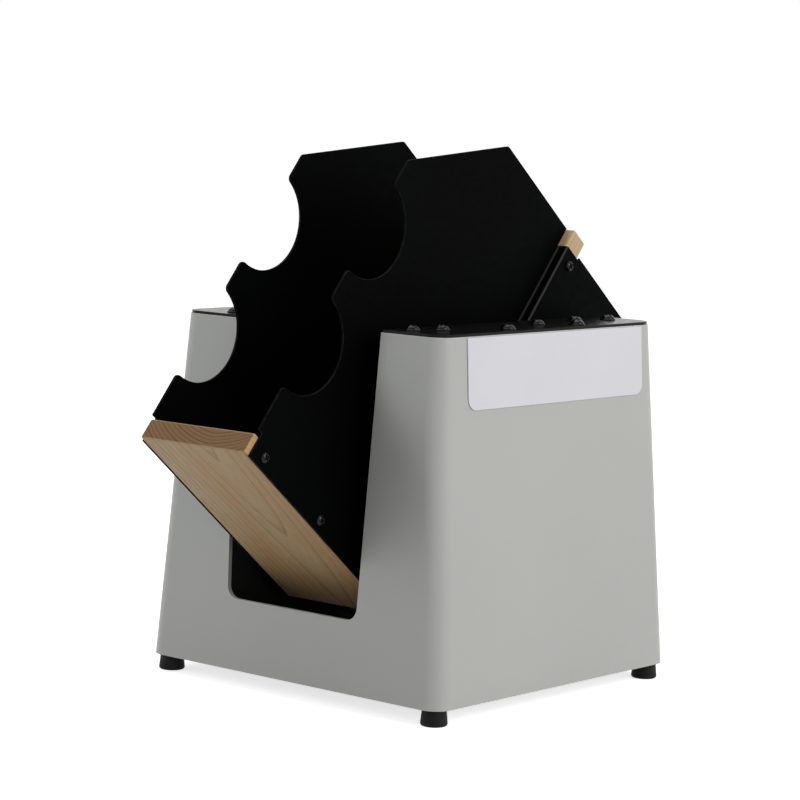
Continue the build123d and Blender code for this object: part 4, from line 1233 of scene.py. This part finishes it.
@dataclass
class Trough(SubAssembly):
    """The shaking bin: boards, side panels, their screws and the cradle."""

    board_edge: float = 0.0016
    rebate_edge: float = 0.0004
    sheet_edge: float = 0.0003
    # Shares of a normal along the panels' outward direction that mark the bend faces for a painted
    # highlight.
    bend_highlight: tuple[float, float, float, float] = (0.15, 0.35, 0.9, 0.99)
    head_radius: float = 0.004
    head_height: float = 0.0026
    screw_length: float = 0.02
    shank_radius: float = 0.0021
    spin_seed: int = 11
    corner_steps: int = 5

    def build(self) -> None:
        """Builds and dresses the whole sub-assembly."""
        self.floor_board()
        self.back_board()
        for node in ("front_panel", "rear_panel"):
            # The bend faces are marked for the panel finish's painted highlight.
            panel = eased_node(node, self.sheet_edge, BIN_PLACING.outward, self.bend_highlight)
            self.settle(panel, Body.BIN, Finishes.PANEL, node)
        self.screws("floor_board_screws")
        self.screws("back_board_screws")
        self.eased(Body.BIN, Finishes.ZINC, self.sheet_edge, "cradle")
        bolts = ("cradle_bolts", "block_bolts")
        self.eased(Body.BIN, Finishes.ZINC, self.sheet_edge, *bolts, slot="plated_screws")

    def floor_board(self) -> None:
        """Makes the floor board with eased edges, and marks its end grain."""
        places = BIN_PLACING.read(node_points("floor_board"))
        low, high = places.min(0), places.max(0)
        grid, ends = eased_bar(low, high, self.board_edge, self.corner_steps)
        shell = Shell("floor_board_planed").add(grid, BIN_PLACING, mark=ends)
        self.settle(shell.piece(), Body.BIN, Finishes.FLOOR_BOARD, "floor_board")

    def back_board(self) -> None:
        """Eases the rebates of the back board, and marks its end grain."""
        piece = eased_node("back_board", self.rebate_edge, BIN_PLACING.across)
        self.settle(piece, Body.BIN, Finishes.BACK_BOARD, "back_board")

    def screws(self, node: str) -> None:
        """Makes the screws that hold the side panels to a board.

        Args:
            node: the CAD node.
        """
        low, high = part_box(node)
        screw = CrossHeadScrew(
            self.head_radius, self.head_height, self.shank_radius, self.screw_length
        )
        seat_y = (high.y - low.y) / 2 - self.head_height
        seats = []
        for x, y, z in solid_centres(node):
            side = 1.0 if y > 0 else -1.0
            seats.append(Placing((x, side * seat_y, z), (side, 0, 0), (0, 0, -1.0), (0, side, 0)))
        self.drive(screw, seats, Body.BIN, self.spin_seed, node)


@dataclass
class SpringDrive(SubAssembly):
    """The slat springs with their blocks, clamps and bolts."""

    cast_edge: float = 0.0006
    slat_edge: float = 0.0003

    def build(self) -> None:
        """Dresses both spring packs."""
        for side, body in (("left", Body.LEFT_SLATS), ("right", Body.RIGHT_SLATS)):
            slats = (side + "_front_slat", side + "_rear_slat")
            self.eased(body, Finishes.SLAT, self.slat_edge, *slats)
            for level, carrier in (("lower", Body.BASE), ("upper", Body.BIN)):
                block = f"{side}_{level}_block"
                clamp = f"{side}_{level}_clamp"
                self.eased(carrier, Finishes.IRON, self.cast_edge, block)
                self.eased(carrier, Finishes.ZINC, self.cast_edge, clamp)
        for node, carrier in (
            ("lower_clamp_bolts", Body.BASE),
            ("base_bolts", Body.BASE),
            ("upper_clamp_bolts", Body.BIN),
        ):
            self.eased(carrier, Finishes.ZINC, self.slat_edge, node, slot="plated_screws")


@dataclass
class Magnet(SubAssembly):
    """The electromagnet, its winding and the armature that it pulls."""

    edge: float = 0.0004
    wire: float = 0.0009
    wire_rows: int = 8
    coil_depth: float = 0.0075
    corner: float = 0.004
    corner_steps: int = 8
    least_corner: float = 0.05

    def build(self) -> None:
        """Builds and dresses the whole sub-assembly."""
        self.eased(Body.BASE, Finishes.CORE, self.edge, "magnet_core")
        self.eased(Body.BASE, Finishes.ZINC, self.edge, "magnet_bracket")
        self.eased(Body.BASE, Finishes.ZINC, self.edge, "magnet_bolts", slot="plated_screws")
        self.winding()
        self.eased(Body.BIN, Finishes.CORE, self.edge, "armature")
        self.eased(Body.BIN, Finishes.ZINC, self.edge, "armature_hanger")
        self.eased(Body.BIN, Finishes.ZINC, self.edge, "armature_screws", slot="plated_screws")

    def winding(self) -> None:
        """Makes the coil: a rounded loop whose outside is rows of wire.

        The loop is carried round the magnet's axis. Its section's outer side stands in by
        the wire's radius times 1 - |sin(pi x / pitch)|, so each turn of wire is a ridge.
        """
        low, high = (np.array(corner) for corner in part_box("magnet_coil"))
        turns = int((high[0] - low[0]) / self.wire)
        x = np.linspace(low[0], high[0], turns * self.wire_rows + 1)
        ridge = self.wire / 2 * (1 - abs(np.sin(pi * (x - low[0]) / self.wire)))
        half_y, half_z = (high[1] - low[1]) / 2, (high[2] - low[2]) / 2
        inner = np.full(x.shape, self.coil_depth)
        inset = np.concatenate([ridge, inner[::-1], ridge[:1]])
        station = np.concatenate([x, x[::-1], x[:1]])
        radius = np.maximum(self.corner - inset, self.corner * self.least_corner)
        loops = rounded_loop(half_y - inset, half_z - inset, radius, self.corner_steps)
        loops = loops + (low[1:] + high[1:]) / 2
        along = np.broadcast_to(station[:, None, None], (*loops.shape[:2], 1))
        shell = Shell("magnet_coil_wound").add(np.concatenate([along, loops], axis=-1))
        self.settle(shell.piece(), Body.BASE, Finishes.COPPER, "magnet_coil")


@dataclass
class Controls(SubAssembly):
    """Speed knob, rocker switch, cord gland and control board at the rear."""

    edge: float = 0.0004
    controls_height: float = 0.150
    knob_x: float = -0.038
    knob_top: float = 0.0154
    pointer: Pair = (0.0006, 0.0039)
    pointer_middle: float = 0.008
    pointer_floor: float = 0.0005
    pointer_top: float = 0.0001
    tick: Pair = (0.0004, 0.0013)
    tick_reach: float = 0.0195
    tick_count: int = 11
    tick_sweep: float = radians(270)
    long_tick: float = 1.35
    ink: Pair = (0.00001, 0.00005)
    ink_corner: float = 0.9
    bar: Pair = (0.0004, 0.0018)
    ring: Pair = (0.0017, 0.0004)
    ring_steps: tuple[int, int] = (9, 48)
    outward_share: float = 0.8

    def build(self) -> None:
        """Builds and dresses the whole sub-assembly."""
        plastic = Finishes.BLACK_PLASTIC
        self.eased(Body.KNOB, plastic, self.edge, "speed_knob")
        self.eased(Body.BASE, plastic, self.edge, "switch_housing", "cord_gland")
        self.eased(Body.ROCKER, plastic, self.edge, "power_rocker")
        self.eased(Body.BASE, plastic, self.edge, "board_standoffs")
        self.eased(Body.BASE, Finishes.ZINC, self.edge, "speed_control")
        self.eased(Body.BASE, Finishes.ZINC, self.edge, "control_nuts", slot="plated_screws")
        self.eased(Body.BASE, Finishes.BOARD_GREEN, self.edge, "control_board")
        self.pointer_inlay()
        self.dial_marks()
        self.rocker_marks()

    def on_rear_face(self, x: float, turn: float = 0.0, lift: float = 0.0) -> Placing:
        """A placing on the casing's leaning rear face at the controls' height.

        Args:
            x: its place along the face.
            turn: how far its axes are turned about the outward direction.
            lift: how far it stands off the face.

        Returns:
            The placing, with local y up the face.
        """
        low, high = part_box("casing")
        face_y = high.y - (self.controls_height - low.z) * sin(FACE_LEAN) / cos(FACE_LEAN)
        level = np.array(REAR_LEVEL)
        up = np.array((0.0, -sin(FACE_LEAN), cos(FACE_LEAN)))
        out = np.array((0.0, cos(FACE_LEAN), sin(FACE_LEAN)))
        place = np.array((x, face_y, self.controls_height)) + lift * out
        along = level * cos(turn) + up * sin(turn)
        across = up * cos(turn) - level * sin(turn)
        return Placing(tuple(place), tuple(along), tuple(across), tuple(out))

    def pointer_inlay(self) -> None:
        """Fills the knob's pointer groove with white."""
        bar = tablet(*self.pointer, self.pointer[0], -self.pointer_floor, -self.pointer_top)
        bar = bar + (0.0, self.pointer_middle, 0.0)
        shell = Shell("knob_pointer").add(bar, self.on_rear_face(self.knob_x, lift=self.knob_top))
        self.settle(shell.piece(), Body.KNOB, Finishes.MARK_WHITE)

    def dial_marks(self) -> None:
        """Prints ticks clockwise from the pointer's rest over the knob's whole turn.

        The first, the middle and the last tick are longer.
        """
        shell = Shell("dial_marks")
        for step, turn in enumerate(np.linspace(0, -self.tick_sweep, self.tick_count)):
            long = self.long_tick if step % (self.tick_count // 2) == 0 else 1.0
            half = (self.tick[0], self.tick[1] * long)
            tick = tablet(*half, self.tick[0] * self.ink_corner, *self.ink)
            tick = tick + (0.0, self.tick_reach + half[1], 0.0)
            shell.add(tick, self.on_rear_face(self.knob_x, turn))
        self.settle(shell.piece(), Body.BASE, Finishes.MARK_BLACK)

    def rocker_marks(self) -> None:
        """Prints a bar on the rocker's upper face and a ring on its lower one."""
        upper, lower = self.rocker_faces()
        shell = Shell("rocker_marks")
        shell.add(tablet(*self.bar, self.bar[0] * self.ink_corner, *self.ink), upper)
        wide, thick = self.ring
        low, high = self.ink
        steps, segments = self.ring_steps
        across = np.linspace(0, 2 * pi, steps)
        height = (low + high) / 2 + (high - low) / 2 * np.sin(across)
        tube = np.stack([wide + thick * np.cos(across), height], axis=-1)
        shell.add(turned(tube, segments), lower)
        self.settle(shell.piece(), Body.ROCKER, Finishes.MARK_WHITE)

    def rocker_faces(self) -> list[Placing]:
        """Placings on the middles of the rocker's two outer faces, the upper one first.

        They are the two largest of the node's faces that look out of the rear.

        Returns:
            Two placings with local y up the face.
        """
        shape = merged_copy("power_rocker")
        faces = sorted(shape.faces, key=lambda f: -f.calc_area())
        outward = Vector(self.on_rear_face(0.0).outward)
        outer = [f for f in faces if f.normal.dot(outward) > self.outward_share][:2]
        placings = []
        for face in sorted(outer, key=lambda f: -f.calc_center_median().z):
            out = tuple(face.normal)
            up = tuple(np.cross(out, REAR_LEVEL))
            placings.append(Placing(tuple(face.calc_center_median()), REAR_LEVEL, up, out))
        shape.free()
        return placings


# --- studio ---


@dataclass
class Softbox:
    """A soft square lamp that looks at the jogger."""

    name: str
    place: Point
    size: float
    power: float
    colour: tuple[float, float, float] = (1.0, 1.0, 1.0)
    aim: Point = (0.0, 0.0, 0.18)

    def build(self) -> None:
        """Hangs the lamp."""
        lamp = bpy.data.lights.new(self.name, "AREA")
        lamp.shape = "SQUARE"
        lamp.size = self.size
        lamp.energy = self.power
        lamp.color = self.colour
        holder = new_object(self.name, lamp)
        holder.location = self.place
        holder.rotation_mode = "QUATERNION"
        look = Vector(self.aim) - Vector(self.place)
        holder.rotation_quaternion = look.to_track_quat("-Z", "Y")


@dataclass
class Studio:
    """A pale floor, soft light and the camera."""

    camera_place: Point = (-1.5894, -1.3294, 0.4251)
    yaw: float = 0.8678
    pitch: float = 0.1067
    roll: float = 0.0326
    lens: float = 127.68
    floor_size: float = 7.0
    floor_seen: float = 0.85
    floor_bounce: float = 0.45
    floor_glow: float = 0.72
    fill: float = 0.36

    def build(self) -> None:
        """Sets the stage, the lamps, the world and the camera."""
        self.floor()
        self.world()
        cool = (0.95, 0.98, 1.0)
        Softbox("front_softbox", (0.35, -2.75, 1.4), size=1.6, power=50.0).build()
        Softbox("left_softbox", (-2.1, 1.7, 1.3), size=1.4, power=20.0, colour=cool).build()
        Softbox("top_softbox", (0.2, 0.6, 2.6), size=1.8, power=22.0).build()
        self.camera()
        bpy.context.scene.view_settings.view_transform = "Standard"

    def seen_directly(self, wiring: Wiring) -> Socket:
        """1 for rays that show a background: camera, gloss and glass rays.

        Args:
            wiring: the tree's wiring.

        Returns:
            The socket of the mask.
        """
        path = wiring.add("LightPath")
        either = wiring.math("MAXIMUM", path["Is Camera Ray"], path["Is Glossy Ray"])
        return wiring.math("MAXIMUM", either, path["Is Transmission Ray"])

    def floor(self) -> None:
        """Lays the floor, partly lit by itself so that it meets the white behind it."""
        half = self.floor_size / 2
        corners = np.array([(-half, -half, 0), (half, -half, 0), (half, half, 0), (-half, half, 0)])
        mesh = bpy.data.meshes.new("floor")
        mesh.from_pydata(corners, [], [(0, 1, 2, 3)])
        floor = new_object("floor", mesh)
        material = bpy.data.materials.new("pale_floor")
        wiring = cleared(material)
        seen = self.seen_directly(wiring)
        tone = wiring.ramp(seen, (0.0, 1.0), (self.floor_bounce, self.floor_seen))
        lit = wiring.add("BsdfDiffuse", {"Color": tone})
        strength = wiring.math("MULTIPLY", seen, self.floor_glow)
        glow = wiring.add("Emission", {"Color": WHITE, "Strength": strength})
        both = wiring.add("AddShader", {0: lit[0], 1: glow[0]})
        wiring.add("OutputMaterial", {"Surface": both[0]})
        mesh.materials.append(material)

    def world(self) -> None:
        """White where it is seen, a plain fill for everything else."""
        world = bpy.data.worlds.new("studio")
        wiring = cleared(world)
        strength = wiring.ramp(self.seen_directly(wiring), (0.0, 1.0), (self.fill, 1.0))
        back = wiring.add("Background", {"Color": WHITE, "Strength": strength})
        wiring.add("OutputWorld", {"Surface": back[0]})
        bpy.context.scene.world = world

    def camera(self) -> None:
        """Stands the camera at its place, turned by yaw, pitch and roll."""
        forward = Vector(
            (sin(self.yaw) * cos(self.pitch), cos(self.yaw) * cos(self.pitch), -sin(self.pitch))
        )
        level_right = Vector((cos(self.yaw), -sin(self.yaw), 0.0))
        level_up = level_right.cross(forward)
        right = level_right * cos(self.roll) + level_up * sin(self.roll)
        up = level_up * cos(self.roll) - level_right * sin(self.roll)
        data = bpy.data.cameras.new("camera")
        data.lens = self.lens
        camera = new_object("camera", data)
        turn = Matrix((right, up, -forward)).transposed().to_4x4()
        camera.matrix_world = Matrix.Translation(Vector(self.camera_place)) @ turn
        bpy.context.scene.camera = camera


def main() -> None:
    """Builds every sub-assembly in order, then the studio."""
    logging.basicConfig(level=logging.INFO, format="%(name)s: %(message)s")
    for part in (Tower(), Trough(), SpringDrive(), Magnet(), Controls()):
        part.build()
    Studio().build()


if __name__ == "__main__":
    main()
